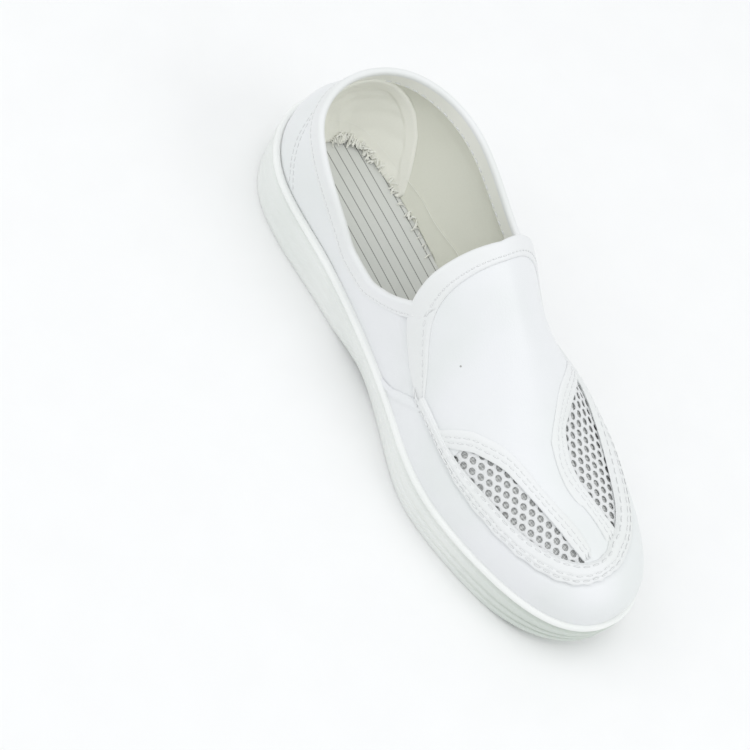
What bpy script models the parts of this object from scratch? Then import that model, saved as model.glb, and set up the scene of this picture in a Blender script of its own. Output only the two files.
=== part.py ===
"""Slip-on work shoe for the right foot, with a moulded sole and two mesh windows.

Runs in Blender 4.5. Lengths are in metres and +Z is up. The toe points to -Y,
the big-toe side is +X, and the origin is the centre of the shoe's box on the floor.

The shoe is made the way a shoe is made. A last form gives every upper point from
two numbers, an angle round the sole and a share of the way from the sole's edge to
the ridge of the foot. The upper, its overlays, the windows and the sole are all cut
or lofted from that one form.
"""

import math
from collections import namedtuple

import bmesh
import bpy
import numpy as np
from mathutils import Vector

# Overall sizes of the sole unit
SOLE_LENGTH = 0.275
TOE_WIDTH = 0.0600
BALL_WIDTH = 0.0945
WAIST_WIDTH = 0.0755
HEEL_WIDTH = 0.0730
TOE_RADIUS = 0.034
HEEL_RADIUS = 0.030

# Heights of the sole's rim above the floor
RIM_AT_TOE = 0.0240
RIM_AT_BALL = 0.0205
RIM_AT_WAIST = 0.0235
RIM_AT_SEAT = 0.0275
RIM_AT_HEEL = 0.0280

# Underside of the sole
TOE_SPRING = 0.0080
ARCH_RISE = 0.0030
HEEL_BEVEL = 0.0010
EDGE_CHAMFER = 0.0012
WAIST_TUCK = 0.0060
EDGE_TUCK = 0.0015
TREAD_DEPTH = 0.0015
TREAD_WIDTH = 0.0035
TREAD_PITCH = 0.0095
TREAD_MARGIN = 0.0080

# Side of the sole
RIM_WIDTH = 0.0026
RIM_HEIGHT = 0.0034
GROOVE_HEIGHT = 0.0014
GROOVE_DEPTH = 0.0018
RIB_DEPTH = 0.0009
SEAT_DEPTH = 0.0020

# Upper
UPPER_WALL = 0.0016
TOE_HEIGHT = 0.0385
VAMP_HEIGHT = 0.0530
INSTEP_HEIGHT = 0.0730
THROAT_HEIGHT = 0.0935
ANKLE_HEIGHT = 0.1200
TOE_RUN = 0.036
HEEL_RUN = 0.034
HEEL_LEAN = 0.026
COLLAR_JOIN = 0.0640
COLLAR_DIP_OUTER = 0.0520
COLLAR_DIP_INNER = 0.0645
COLLAR_BACK = 0.0695
WALL_SPLAY_OUTER = 0.0090
WALL_SPLAY_INNER = 0.0100
TOE_SPLAY = 0.0028

# Overlays, inserts and insole
GUARD_THICKNESS = 0.0008
STRIP_THICKNESS = 0.0014
BINDING_THICKNESS = 0.0010
BINDING_WIDTH = 0.0090
MESH_THICKNESS = 0.0009
MESH_HEM = 0.0035
INSOLE_THICKNESS = 0.0040
INSOLE_CLEARANCE = 0.0012
GAP = 0.0003

# How finely the faceted forms are divided
ROUND_STEPS = 72
RISE_STEPS = 13

SidePoint = namedtuple("SidePoint", "along width outer inner")
Height = namedtuple("Height", "along height")
Fullness = namedtuple("Fullness", "along outer inner")
WallStep = namedtuple("WallStep", "rise relief")
Seam = namedtuple("Seam", "angle low high")
TabEdge = namedtuple("TabEdge", "edge_angle edge_rise inner_angle inner_rise")

# Half widths of the rim at stations from toe to heel, as shares of the named widths
OUTLINE = (
    SidePoint(0.07, TOE_WIDTH, 0.515, 0.485),
    SidePoint(0.20, BALL_WIDTH, 0.468, 0.432),
    SidePoint(0.34, BALL_WIDTH, 0.522, 0.478),
    SidePoint(0.48, BALL_WIDTH, 0.456, 0.425),
    SidePoint(0.62, WAIST_WIDTH, 0.515, 0.485),
    SidePoint(0.76, HEEL_WIDTH, 0.525, 0.515),
    SidePoint(0.90, HEEL_WIDTH, 0.485, 0.445),
)

RIM_LINE = (
    Height(0.00, RIM_AT_TOE), Height(0.25, RIM_AT_BALL), Height(0.50, RIM_AT_WAIST),
    Height(0.75, RIM_AT_SEAT), Height(1.00, RIM_AT_HEEL),
)
FLOOR_LINE = (
    Height(0.00, TOE_SPRING), Height(0.14, 0.0), Height(0.46, 0.0),
    Height(0.56, ARCH_RISE), Height(0.66, 0.0), Height(0.94, 0.0), Height(1.00, HEEL_BEVEL),
)
TUCK_LINE = (
    Height(0.00, EDGE_TUCK), Height(0.30, EDGE_TUCK), Height(0.52, WAIST_TUCK),
    Height(0.66, 0.6 * WAIST_TUCK), Height(0.80, EDGE_TUCK), Height(1.00, EDGE_TUCK),
)
RIB_FADE = (Height(0.00, 1.0), Height(0.20, 0.9), Height(0.45, 0.35), Height(1.00, 0.25))
ROOF_LINE = (
    Height(0.00, TOE_HEIGHT), Height(0.12, 0.12 * TOE_HEIGHT + 0.80 * VAMP_HEIGHT),
    Height(0.28, VAMP_HEIGHT), Height(0.42, INSTEP_HEIGHT),
    Height(0.55, THROAT_HEIGHT), Height(0.90, ANKLE_HEIGHT),
)
COLLAR_OUTER = (
    Height(0.44, 1.25 * COLLAR_JOIN), Height(0.54, COLLAR_JOIN),
    Height(0.58, 1.08 * COLLAR_DIP_OUTER), Height(0.65, COLLAR_DIP_OUTER),
    Height(0.80, 0.50 * COLLAR_DIP_OUTER + 0.50 * COLLAR_BACK), Height(1.00, COLLAR_BACK),
)
COLLAR_INNER = (
    Height(0.44, 1.25 * COLLAR_JOIN), Height(0.54, COLLAR_JOIN),
    Height(0.60, COLLAR_DIP_INNER), Height(0.80, 1.03 * COLLAR_BACK), Height(1.00, COLLAR_BACK),
)

# Roundness of the cross sections (2 is an ellipse, more is squarer), outer and inner side
ROUNDNESS = (
    Fullness(0.00, 2.60, 2.60), Fullness(0.25, 1.95, 2.35), Fullness(0.45, 1.65, 1.62),
    Fullness(0.70, 2.50, 2.50), Fullness(1.00, 2.60, 2.60),
)
# How far the wall stands out past a plain curve, outer and inner side
SPLAY = (
    Fullness(0.00, TOE_SPLAY, TOE_SPLAY), Fullness(0.16, TOE_SPLAY, TOE_SPLAY),
    Fullness(0.40, 0.12 * WALL_SPLAY_OUTER, 0.08 * WALL_SPLAY_INNER),
    Fullness(0.60, WALL_SPLAY_OUTER, 0.40 * WALL_SPLAY_INNER),
    Fullness(0.82, 0.35 * WALL_SPLAY_OUTER, WALL_SPLAY_INNER),
    Fullness(1.00, 0.25 * WALL_SPLAY_OUTER, 0.25 * WALL_SPLAY_OUTER),
)

# Steps up the sole's side, as shares of its height and of the rib depth
SOLE_SIDE = (
    WallStep(0.07, 0.0), WallStep(0.23, 0.0), WallStep(0.27, 1.0), WallStep(0.33, 1.0),
    WallStep(0.37, 0.0), WallStep(0.53, 0.0), WallStep(0.57, 1.0), WallStep(0.63, 1.0),
    WallStep(0.67, 0.0), WallStep(0.90, 0.0),
)
# The rim's rounded section, as shares of its height and width
RIM_SECTION = (
    WallStep(0.00, 0.70), WallStep(0.22, 0.12), WallStep(0.50, 0.00), WallStep(0.78, 0.10),
    WallStep(1.00, 0.42), WallStep(1.00, 0.80), WallStep(0.88, 1.00),
)

# The apron seam: angle round the sole from the toe, and rises of its two edges
APRON = (
    Seam(-82, 0.270, 0.315), Seam(-70, 0.325, 0.385), Seam(-58, 0.345, 0.470),
    Seam(-46, 0.375, 0.520), Seam(-34, 0.450, 0.610), Seam(-22, 0.560, 0.720),
    Seam(-10, 0.675, 0.815), Seam(2, 0.730, 0.865), Seam(14, 0.715, 0.865),
    Seam(26, 0.660, 0.800), Seam(38, 0.585, 0.745), Seam(50, 0.520, 0.690),
    Seam(62, 0.450, 0.620), Seam(72, 0.370, 0.500), Seam(82, 0.280, 0.360),
)
# Width of each window above the apron seam's inner edge, at shares of its length
WINDOW_OUTER_SPAN = (-71.0, -18.0)
WINDOW_INNER_SPAN = (74.0, 26.0)
WINDOW_OUTER = (
    Height(0.00, 0.0), Height(0.10, 0.125), Height(0.26, 0.195), Height(0.45, 0.210),
    Height(0.65, 0.170), Height(0.84, 0.085), Height(1.00, 0.0),
)
WINDOW_INNER = (
    Height(0.00, 0.0), Height(0.12, 0.115), Height(0.34, 0.215), Height(0.56, 0.225),
    Height(0.76, 0.150), Height(0.90, 0.060), Height(1.00, 0.0),
)

# The instep tab: its free edge and the inner line of its binding, from side to ridge
TAB = (
    TabEdge(82.5, 0.275, 83.0, 0.345), TabEdge(86.5, 0.290, 85.8, 0.395),
    TabEdge(90.5, 0.330, 88.5, 0.440), TabEdge(94.5, 0.395, 91.2, 0.500),
    TabEdge(97.0, 0.530, 93.5, 0.600), TabEdge(98.2, 0.645, 94.6, 0.700),
    TabEdge(99.0, 0.830, 95.3, 0.840), TabEdge(99.2, 1.000, 95.5, 1.000),
)
GUARD_REAR_ANGLE = 93.0


def hermite(at, xs, ys, slopes):
    """Cubic through points with given slopes."""
    at = np.clip(at, xs[0], xs[-1])
    i = np.clip(np.searchsorted(xs, at, side="right") - 1, 0, len(xs) - 2)
    h = xs[i + 1] - xs[i]
    t = (at - xs[i]) / h
    start = (1 + 2 * t) * (1 - t) ** 2 * ys[i] + t * (1 - t) ** 2 * h * slopes[i]
    return start + t * t * (3 - 2 * t) * ys[i + 1] + t * t * (t - 1) * h * slopes[i + 1]


def even_curve(xs, ys):
    """Smooth curve that never overshoots its points."""
    xs, ys = np.array(xs, float), np.array(ys, float)
    rise = np.diff(ys) / np.diff(xs)
    product, total = rise[1:] * rise[:-1], rise[1:] + rise[:-1]
    middle = np.where(product > 0, 2 * product / np.where(product > 0, total, 1.0), 0.0)
    slopes = np.concatenate([[rise[0]], middle, [rise[-1]]])
    return lambda at: hermite(at, xs, ys, slopes)


def height_curve(rows):
    return even_curve([row.along for row in rows], [row.height for row in rows])


def level_spline(xs, ys):
    """Cubic spline with level ends."""
    xs, ys = np.array(xs, float), np.array(ys, float)
    count = len(xs)
    matrix, right = np.zeros((count, count)), np.zeros(count)
    matrix[0, 0] = matrix[-1, -1] = 1.0
    h, rise = np.diff(xs), np.diff(ys) / np.diff(xs)
    for i in range(1, count - 1):
        matrix[i, i - 1:i + 2] = h[i], 2 * (h[i - 1] + h[i]), h[i - 1]
        right[i] = 3 * (h[i] * rise[i - 1] + h[i - 1] * rise[i])
    slopes = np.linalg.solve(matrix, right)
    return lambda at: hermite(at, xs, ys, slopes)


def half_width_curve(column):
    """Half width over the sine of the angle, so the ends come out round."""
    angles = [math.acos(1 - 2 * row.along) for row in OUTLINE]
    middle = [row.width * getattr(row, column) / math.sin(a) for row, a in zip(OUTLINE, angles)]
    toe = math.sqrt(TOE_RADIUS * SOLE_LENGTH / 2)
    heel = math.sqrt(HEEL_RADIUS * SOLE_LENGTH / 2)
    return level_spline([0.0] + angles + [math.pi], [toe] + middle + [heel])


def crossing(steps, values):
    """First place along each row where the values rise through zero."""
    first = np.maximum(np.argmax(values > 0, axis=1), 1)
    row = np.arange(len(first))
    low, high = values[row, first - 1], values[row, first]
    return steps[first - 1] + (steps[first] - steps[first - 1]) * (-low) / (high - low)


class Last:
    """The foot form that the sole and the upper are drawn from."""

    def __init__(self):
        self.outer, self.inner = half_width_curve("outer"), half_width_curve("inner")
        self.rim, self.floor = height_curve(RIM_LINE), height_curve(FLOOR_LINE)
        self.tuck, self.fade = height_curve(TUCK_LINE), height_curve(RIB_FADE)
        self.roof = height_curve(ROOF_LINE)
        self.collar_outer = height_curve(COLLAR_OUTER)
        self.collar_inner = height_curve(COLLAR_INNER)
        stations = [row.along for row in ROUNDNESS]
        self.round_outer = even_curve(stations, [row.outer for row in ROUNDNESS])
        self.round_inner = even_curve(stations, [row.inner for row in ROUNDNESS])
        stations = [row.along for row in SPLAY]
        self.splay_outer = even_curve(stations, [row.outer for row in SPLAY])
        self.splay_inner = even_curve(stations, [row.inner for row in SPLAY])
        around = np.linspace(-math.pi, math.pi, 2 * ROUND_STEPS + 1)
        self.shift = 0.0
        across = self.edge(around)[..., 0]
        self.shift = -0.5 * (across.max() + across.min())

    def edge(self, angle):
        """Plan point on the rim's outermost line."""
        size = np.abs(angle)
        half = np.where(angle >= 0, self.inner(size), self.outer(size))
        return np.stack([self.shift + np.sin(angle) * half,
                         -0.5 * SOLE_LENGTH * np.cos(angle)], -1)

    def outward(self, angle):
        step = 1e-4
        along = self.edge(angle + step) - self.edge(angle - step)
        along /= np.linalg.norm(along, axis=-1, keepdims=True)
        return np.stack([along[..., 1], -along[..., 0]], -1)

    def plan(self, angle, inset):
        """Plan point a given distance inside the rim."""
        angle = np.asarray(angle, float)
        return self.edge(angle) - self.outward(angle) * np.broadcast_to(inset, angle.shape)[..., None]

    @staticmethod
    def station(y):
        return np.clip(y / SOLE_LENGTH + 0.5, 0.0, 1.0)

    def point(self, angle, rise):
        """Outside of the upper at an angle round the sole and a rise from edge to ridge."""
        angle, rise = np.broadcast_arrays(np.asarray(angle, float), np.asarray(rise, float))
        foot = self.plan(angle, RIM_WIDTH + GAP)
        at = self.station(foot[..., 1])
        base = self.rim(at) - SEAT_DEPTH + GAP
        at = self.station(self.edge(angle)[..., 1])
        power = np.where(angle > 0, self.round_inner(at), self.round_outer(at))
        turn = np.clip(rise, 0.0, 1.0) * math.pi / 2
        lean_in = np.cos(turn) ** (2 / power)
        climb = np.sin(turn) ** (2 / power)
        facing = np.cos(angle)
        run = np.where(facing > 0, TOE_RUN, HEEL_RUN)
        ridge = -(0.5 * SOLE_LENGTH - run) * facing
        splay = np.where(angle > 0, self.splay_inner(at), self.splay_outer(at))
        push = self.outward(angle) * (splay * np.sin(math.pi * rise) ** 2)[..., None]
        x = self.shift + (foot[..., 0] - self.shift) * lean_in + push[..., 0]
        y = ridge + (foot[..., 1] - ridge) * lean_in + push[..., 1]
        upright = np.clip(rise / 0.18, 0.0, 1.0)
        upright = upright * upright * (3 - 2 * upright)
        y = y - HEEL_LEAN * np.maximum(0.0, -facing) ** 3 * climb * upright
        z = base + (self.roof(self.station(y)) - base) * climb
        return np.stack([x, y, z], -1)

    def normal(self, angle, rise):
        step = 2e-3
        rise = np.clip(rise, 0.02, 0.975)
        around = self.point(angle + step, rise) - self.point(angle - step, rise)
        up = self.point(angle, rise + step) - self.point(angle, rise - step)
        out = np.cross(around, up)
        return out / np.linalg.norm(out, axis=-1, keepdims=True)

    def skin(self, angle, rise, lift):
        """Point on the upper moved outward by a lift."""
        angle, rise = np.broadcast_arrays(np.asarray(angle, float), np.asarray(rise, float))
        out = self.normal(angle, rise)
        mirrored = self.normal(-angle, rise)
        share = np.clip((rise - 0.9) / 0.1, 0.0, 1.0)[..., None]
        out = out * (1 - 0.5 * share) + mirrored * 0.5 * share
        out = out / np.linalg.norm(out, axis=-1, keepdims=True)
        return self.point(angle, rise) + out * np.asarray(lift)[..., None]

    def collar(self, x, y):
        """Height of the collar's edge over a plan point."""
        side = np.clip((x - self.shift) / HEEL_RADIUS * 0.5 + 0.5, 0.0, 1.0)
        side = side * side * (3 - 2 * side)
        at = self.station(y)
        return self.collar_outer(at) * (1 - side) + self.collar_inner(at) * side

    def rise_at_collar(self, angle, below):
        """Rise at which the wall reaches a distance below the collar's edge."""
        rises = np.linspace(0.0, 0.95, 400)
        walls = self.point(np.asarray(angle)[:, None], rises[None, :])
        over = walls[..., 2] - self.collar(walls[..., 0], walls[..., 1]) + np.asarray(below)[:, None]
        return crossing(rises, over)

    def rise_over_rim(self, angle, clearance):
        """Rise at which the wall stands a clearance above the sole's rim."""
        rises = np.linspace(0.0, 0.5, 400)
        walls = self.point(np.asarray(angle)[:, None], rises[None, :])
        rim = self.rim(self.station(self.edge(np.asarray(angle))[..., 1]))
        return crossing(rises, walls[..., 2] - rim[:, None] - clearance)


LAST = Last()
AROUND = np.linspace(-math.pi, math.pi, ROUND_STEPS, endpoint=False)


def new_collection(name):
    collection = bpy.data.collections.new(name)
    bpy.context.scene.collection.children.link(collection)
    return collection


def new_material(name, colour, roughness, metallic=0.0):
    material = bpy.data.materials.new(name)
    material.use_nodes = True
    shader = material.node_tree.nodes["Principled BSDF"]
    shader.inputs["Base Color"].default_value = (*colour, 1.0)
    shader.inputs["Roughness"].default_value = roughness
    shader.inputs["Metallic"].default_value = metallic
    return material


def add_object(name, form, collection, material=None):
    """Turn a bmesh into an object with outward faces."""
    bmesh.ops.remove_doubles(form, verts=form.verts, dist=0.00001)
    mesh = bpy.data.meshes.new(name)
    form.to_mesh(mesh)
    form.free()
    obj = bpy.data.objects.new(name, mesh)
    collection.objects.link(obj)
    if material is not None:
        mesh.materials.append(material)
        mesh.shade_smooth()
        mesh.set_sharp_from_angle(angle=math.radians(40))
    else:
        obj.hide_render = True
        obj.display_type = "WIRE"
    return obj


def face_outward(form):
    bmesh.ops.remove_doubles(form, verts=form.verts, dist=0.00001)
    bmesh.ops.recalc_face_normals(form, faces=form.faces)


def ring_loft(rings):
    """Closed body from rings of points, with caps of strips from side to side."""
    form = bmesh.new()
    loops = [[form.verts.new(point) for point in ring] for ring in rings]
    count = len(loops[0])
    for low, high in zip(loops, loops[1:]):
        for i in range(count):
            j = (i + 1) % count
            form.faces.new((low[i], low[j], high[j], high[i]))
    half = count // 2
    for loop, flip in ((loops[0], True), (loops[-1], False)):
        for i in range(half):
            a, b = loop[(half + i) % count], loop[(half + i + 1) % count]
            c, d = loop[(half - i - 1) % count], loop[(half - i) % count]
            corners = [v for k, v in enumerate((a, b, c, d)) if v not in (a, b, c, d)[:k]]
            if len(corners) > 2:
                form.faces.new(corners[::-1] if flip else corners)
    face_outward(form)
    return form


def mapped_slab(columns, rows, place):
    """Closed slab: a grid of two skins, mapped by place(u, v, side)."""
    form = bmesh.new()
    u = np.linspace(0.0, 1.0, columns + 1)
    v = np.linspace(0.0, 1.0, rows + 1)
    across, up = np.meshgrid(u, v, indexing="ij")
    skins = []
    for side in (0, 1):
        points = place(across, up, side)
        skins.append([[form.verts.new(p) for p in line] for line in points])
    inner, outer = skins
    for i in range(columns):
        for j in range(rows):
            form.faces.new((outer[i][j], outer[i + 1][j], outer[i + 1][j + 1], outer[i][j + 1]))
            form.faces.new((inner[i][j], inner[i][j + 1], inner[i + 1][j + 1], inner[i + 1][j]))
    for i in range(columns):
        form.faces.new((inner[i][0], inner[i + 1][0], outer[i + 1][0], outer[i][0]))
        form.faces.new((inner[i][rows], outer[i][rows], outer[i + 1][rows], inner[i + 1][rows]))
    for j in range(rows):
        form.faces.new((inner[0][j], outer[0][j], outer[0][j + 1], inner[0][j + 1]))
        form.faces.new((inner[columns][j], inner[columns][j + 1],
                        outer[columns][j + 1], outer[columns][j]))
    face_outward(form)
    bmesh.ops.dissolve_degenerate(form, dist=0.00001, edges=form.edges)
    return form


def cut(obj, cutter):
    modifier = obj.modifiers.new("cut " + cutter.name, "BOOLEAN")
    modifier.operation = "DIFFERENCE"
    modifier.solver = "EXACT"
    modifier.object = cutter


def sole_rings():
    """Rings of the sole from the tread's edge, up its side, over the rim, to the seat."""
    def ring(inset, level):
        flat = LAST.plan(AROUND, inset)
        at = LAST.station(flat[:, 1])
        return np.column_stack([flat, level(at)])

    at = LAST.station(LAST.edge(AROUND)[:, 1])
    tuck, fade = LAST.tuck(at), LAST.fade(at)
    top_of_side = RIM_HEIGHT + GROOVE_HEIGHT
    rings = [ring(tuck + EDGE_CHAMFER, LAST.floor)]
    for step in SOLE_SIDE:
        inset = tuck * (1 - step.rise) + (RIB_DEPTH * fade) * step.relief
        rings.append(ring(inset, lambda s, r=step.rise: LAST.floor(s) + r * (
            LAST.rim(s) - top_of_side - LAST.floor(s))))
    rings.append(ring(GROOVE_DEPTH, lambda s: LAST.rim(s) - top_of_side))
    for step in RIM_SECTION:
        rings.append(ring(RIM_WIDTH * step.relief,
                          lambda s, r=step.rise: LAST.rim(s) - RIM_HEIGHT * (1 - r)))
    rings.append(ring(RIM_WIDTH, lambda s: LAST.rim(s) - SEAT_DEPTH))
    return rings


def tread_cutter(collection):
    """Cross channels in the two flat areas of the tread."""
    form = bmesh.new()
    flats = ((0.15, 0.45), (0.68, 0.93))
    for start, end in flats:
        count = int((end - start) * SOLE_LENGTH / TREAD_PITCH)
        first = (start + end - 1.0) * 0.5 * SOLE_LENGTH - 0.5 * (count - 1) * TREAD_PITCH
        for i in range(count):
            y = first + i * TREAD_PITCH
            angle = math.acos(max(-1.0, min(1.0, -2 * y / SOLE_LENGTH)))
            low = float(LAST.edge(np.array([-angle]))[0, 0]) + TREAD_MARGIN
            high = float(LAST.edge(np.array([angle]))[0, 0]) - TREAD_MARGIN
            block = bmesh.ops.create_cube(form, size=1.0)["verts"]
            bmesh.ops.scale(form, verts=block, vec=(high - low, TREAD_WIDTH, 2 * TREAD_DEPTH))
            bmesh.ops.translate(form, verts=block, vec=((low + high) / 2, y, 0.0))
    return add_object("tread_cutter", form, collection)


def make_outsole(parts, cutters, material):
    form = ring_loft(sole_rings())
    sole = add_object("outsole", form, parts, material)
    cut(sole, tread_cutter(cutters))
    return sole


def make_insole(parts, material):
    inset = RIM_WIDTH + GAP + UPPER_WALL + INSOLE_CLEARANCE
    rings = []
    for lift, extra in ((GAP, 0.0), (GAP + INSOLE_THICKNESS, 0.0)):
        flat = LAST.plan(AROUND, inset + extra)
        at = LAST.station(LAST.edge(AROUND)[:, 1])
        rings.append(np.column_stack([flat, LAST.rim(at) - SEAT_DEPTH + lift]))
    return add_object("insole", ring_loft(rings), parts, material)


def tab_plan(samples=60):
    """Plan outline of the instep tab's free edge, from the outer to the inner side."""
    share = np.linspace(0.0, 1.0, len(TAB))
    angle = even_curve(share, [row.edge_angle for row in TAB])
    rise = even_curve(share, [row.edge_rise for row in TAB])
    along = np.linspace(0.0, 1.0, samples)
    half = LAST.point(np.radians(angle(along)) * -1, rise(along))
    other = LAST.point(np.radians(angle(along)), rise(along))[::-1]
    return np.concatenate([half, other[1:]])


def opening_cutter(collection):
    """Block over the collar's edge and behind the instep tab."""
    form = bmesh.new()
    columns, rows = 48, 40
    bmesh.ops.create_grid(form, x_segments=columns, y_segments=rows, size=0.5)
    edge = tab_plan()
    order = np.argsort(edge[:, 0])
    reach = 0.75 * BALL_WIDTH
    for vert in form.verts:
        across, back = vert.co.x + 0.5, vert.co.y + 0.5
        x = LAST.shift + (2 * across - 1) * reach
        start = float(np.interp(x, edge[order, 0], edge[order, 1]))
        y = start + (0.62 * SOLE_LENGTH - start) * back
        vert.co = Vector((x, y, float(LAST.collar(np.array(x), np.array(y)))))
    top = bmesh.ops.extrude_face_region(form, geom=form.faces[:])
    lifted = [item for item in top["geom"] if isinstance(item, bmesh.types.BMVert)]
    for vert in lifted:
        vert.co.z = 1.4 * ANKLE_HEIGHT
    face_outward(form)
    return add_object("opening_cutter", form, collection)


def seam_curves():
    angles = [row.angle for row in APRON]
    return even_curve(angles, [row.low for row in APRON]), even_curve(angles, [row.high for row in APRON])


def window_area(span, rows, hem=0.0):
    """Map of a window: along its length and across, grown by a hem in share of rise."""
    low = seam_curves()[1]
    width = height_curve(rows)
    start, end = span
    reach = hem * 60.0 * math.copysign(1.0, end - start)

    def place(u, v):
        angle = (start - reach) + (end - start + 2 * reach) * u
        share = np.clip((angle - start) / (end - start), 0.0, 1.0)
        base = low(angle)
        bottom = base - hem
        top = np.minimum(base + width(share) + hem, 0.995)
        return np.radians(angle), bottom + (top - bottom) * v
    return place


def window_cutter(name, span, rows, collection):
    place = window_area(span, rows)

    def skin(u, v, side):
        angle, rise = place(u, v)
        depth = 2.5 * UPPER_WALL
        return LAST.skin(angle, rise, np.full(angle.shape, depth if side else -depth))
    return add_object(name, mapped_slab(18, 3, skin), collection)


def make_upper(parts, cutters, material):
    """Quarters and vamp as one hollow shell, open at the collar and underneath."""
    form = bmesh.new()
    bmesh.ops.create_grid(form, x_segments=ROUND_STEPS, y_segments=RISE_STEPS, size=0.5)
    for vert in form.verts:
        angle = math.pi * 2 * vert.co.x
        vert.co = Vector(LAST.point(np.array(angle), np.array(vert.co.y + 0.5)))
    bmesh.ops.remove_doubles(form, verts=form.verts, dist=0.00005)
    bmesh.ops.recalc_face_normals(form, faces=form.faces)
    highest = max(form.faces, key=lambda face: face.calc_center_median().z)
    if highest.normal.z < 0:
        bmesh.ops.reverse_faces(form, faces=form.faces)
    upper = add_object("upper_shell", form, parts, material)
    wall = upper.modifiers.new("wall", "SOLIDIFY")
    wall.thickness = UPPER_WALL
    wall.offset = -1.0
    wall.use_even_offset = True
    cut(upper, opening_cutter(cutters))
    cut(upper, window_cutter("window_cutter_outer", WINDOW_OUTER_SPAN, WINDOW_OUTER, cutters))
    cut(upper, window_cutter("window_cutter_inner", WINDOW_INNER_SPAN, WINDOW_INNER, cutters))
    return upper


def make_window(name, span, rows, parts, material):
    """Mesh insert behind a window, hemmed under the upper's wall."""
    rise_per_metre = 1.0 / (VAMP_HEIGHT - RIM_AT_BALL + 0.4 * BALL_WIDTH)
    place = window_area(span, rows, MESH_HEM * rise_per_metre)

    def skin(u, v, side):
        angle, rise = place(u, v)
        lift = -(UPPER_WALL + GAP + (0.0 if side else MESH_THICKNESS))
        return LAST.skin(angle, rise, np.full(angle.shape, lift))
    return add_object(name, mapped_slab(18, 3, skin), parts, material)


def make_toe_guard(parts, material):
    """Forefoot panel from the sole's rim to the apron seam, round the toe."""
    low, _ = seam_curves()
    seam_end = APRON[-1].angle

    def skin(u, v, side):
        rear = GUARD_REAR_ANGLE + (seam_end - 1.0 - GUARD_REAR_ANGLE) * v ** 0.8
        angle = rear * (2 * u - 1)
        foot = LAST.rise_over_rim(np.radians(angle).ravel(), 2 * GAP).reshape(angle.shape)
        rise = foot + (low(angle) - 0.012 - foot) * v
        return LAST.skin(np.radians(angle), rise, np.full(angle.shape, GAP + GUARD_THICKNESS * side))
    return add_object("toe_guard", mapped_slab(44, 5, skin), parts, material)


def make_apron_strip(parts, material):
    """Raised strip sewn over the toe guard's top edge."""
    low, high = seam_curves()
    start, end = APRON[0].angle, APRON[-1].angle

    def skin(u, v, side):
        angle = start + (end - start) * u
        rise = low(angle) + (high(angle) - low(angle)) * v
        return LAST.skin(np.radians(angle), rise, np.full(angle.shape, GAP + STRIP_THICKNESS * side))
    return add_object("apron_strip", mapped_slab(52, 2, skin), parts, material)


def make_tab_binding(parts, material):
    """Folded edge round the instep tab."""
    share = np.linspace(0.0, 1.0, len(TAB))
    curves = [even_curve(share, [getattr(row, name) for row in TAB]) for name in TabEdge._fields]
    clear = (GAP + STRIP_THICKNESS) / BALL_WIDTH

    def skin(u, v, side):
        along = 1 - np.abs(2 * u - 1)
        along = np.maximum(along, 0.0) * (1 - 4 * clear) + 4 * clear
        sign = np.where(u < 0.5, -1.0, 1.0)
        edge_angle, edge_rise, inner_angle, inner_rise = (curve(along) for curve in curves)
        angle = edge_angle + (inner_angle - edge_angle) * v
        rise = edge_rise + (inner_rise - edge_rise) * v
        return LAST.skin(np.radians(angle) * sign, rise,
                         np.full(angle.shape, GAP + BINDING_THICKNESS * side))
    return add_object("tab_binding", mapped_slab(40, 2, skin), parts, material)


def make_collar_binding(parts, material):
    """Folded edge round the quarters' collar, from one side of the tab to the other."""
    start = math.radians(TAB[3].edge_angle + 2.5)

    def skin(u, v, side):
        line = start + (2 * math.pi - 2 * start) * u[:, 0]
        angle = np.where(line > math.pi, line - 2 * math.pi, line)
        rises = np.stack([LAST.rise_at_collar(angle, np.full(angle.shape, GAP + BINDING_WIDTH * (1 - s)))
                          for s in v[0]], -1)
        return LAST.skin(np.repeat(angle[:, None], v.shape[1], 1), rises,
                         np.full(v.shape, GAP + BINDING_THICKNESS * side))
    return add_object("collar_binding", mapped_slab(48, 2, skin), parts, material)


def main():
    for obj in list(bpy.data.objects):
        bpy.data.objects.remove(obj, do_unlink=True)
    parts = new_collection("antistatic_mesh_shoe")
    cutters = new_collection("cutters")
    leather = new_material("white_leather", (0.83, 0.84, 0.84), 0.42)
    trim = new_material("white_leather_trim", (0.84, 0.85, 0.85), 0.45)
    fabric = new_material("white_mesh", (0.70, 0.71, 0.72), 0.85)
    sole_stock = new_material("off_white_sole", (0.78, 0.79, 0.76), 0.55)
    lining = new_material("grey_insole", (0.62, 0.62, 0.58), 0.90)
    make_outsole(parts, cutters, sole_stock)
    make_insole(parts, lining)
    make_upper(parts, cutters, leather)
    make_window("mesh_window_outer", WINDOW_OUTER_SPAN, WINDOW_OUTER, parts, fabric)
    make_window("mesh_window_inner", WINDOW_INNER_SPAN, WINDOW_INNER, parts, fabric)
    make_toe_guard(parts, leather)
    make_apron_strip(parts, trim)
    make_tab_binding(parts, trim)
    make_collar_binding(parts, trim)


if __name__ == "__main__":
    main()
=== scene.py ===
"""Looks of a white slip-on work shoe with two mesh windows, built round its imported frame.

Lengths are metres. The toe points to -Y, the big-toe side is +X, the sole stands on z = 0.
Every upper piece is drawn on one last form from an angle round the sole, in degrees from
the toe, and a rise from the sole's edge (0) to the ridge of the foot (1). A rise past 1
runs down the other side.
"""

import logging
import math
import random
from collections.abc import Callable, Sequence
from dataclasses import dataclass, field
from enum import Enum

import bmesh
import bpy
import numpy as np
from mathutils import Matrix, Vector


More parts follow.
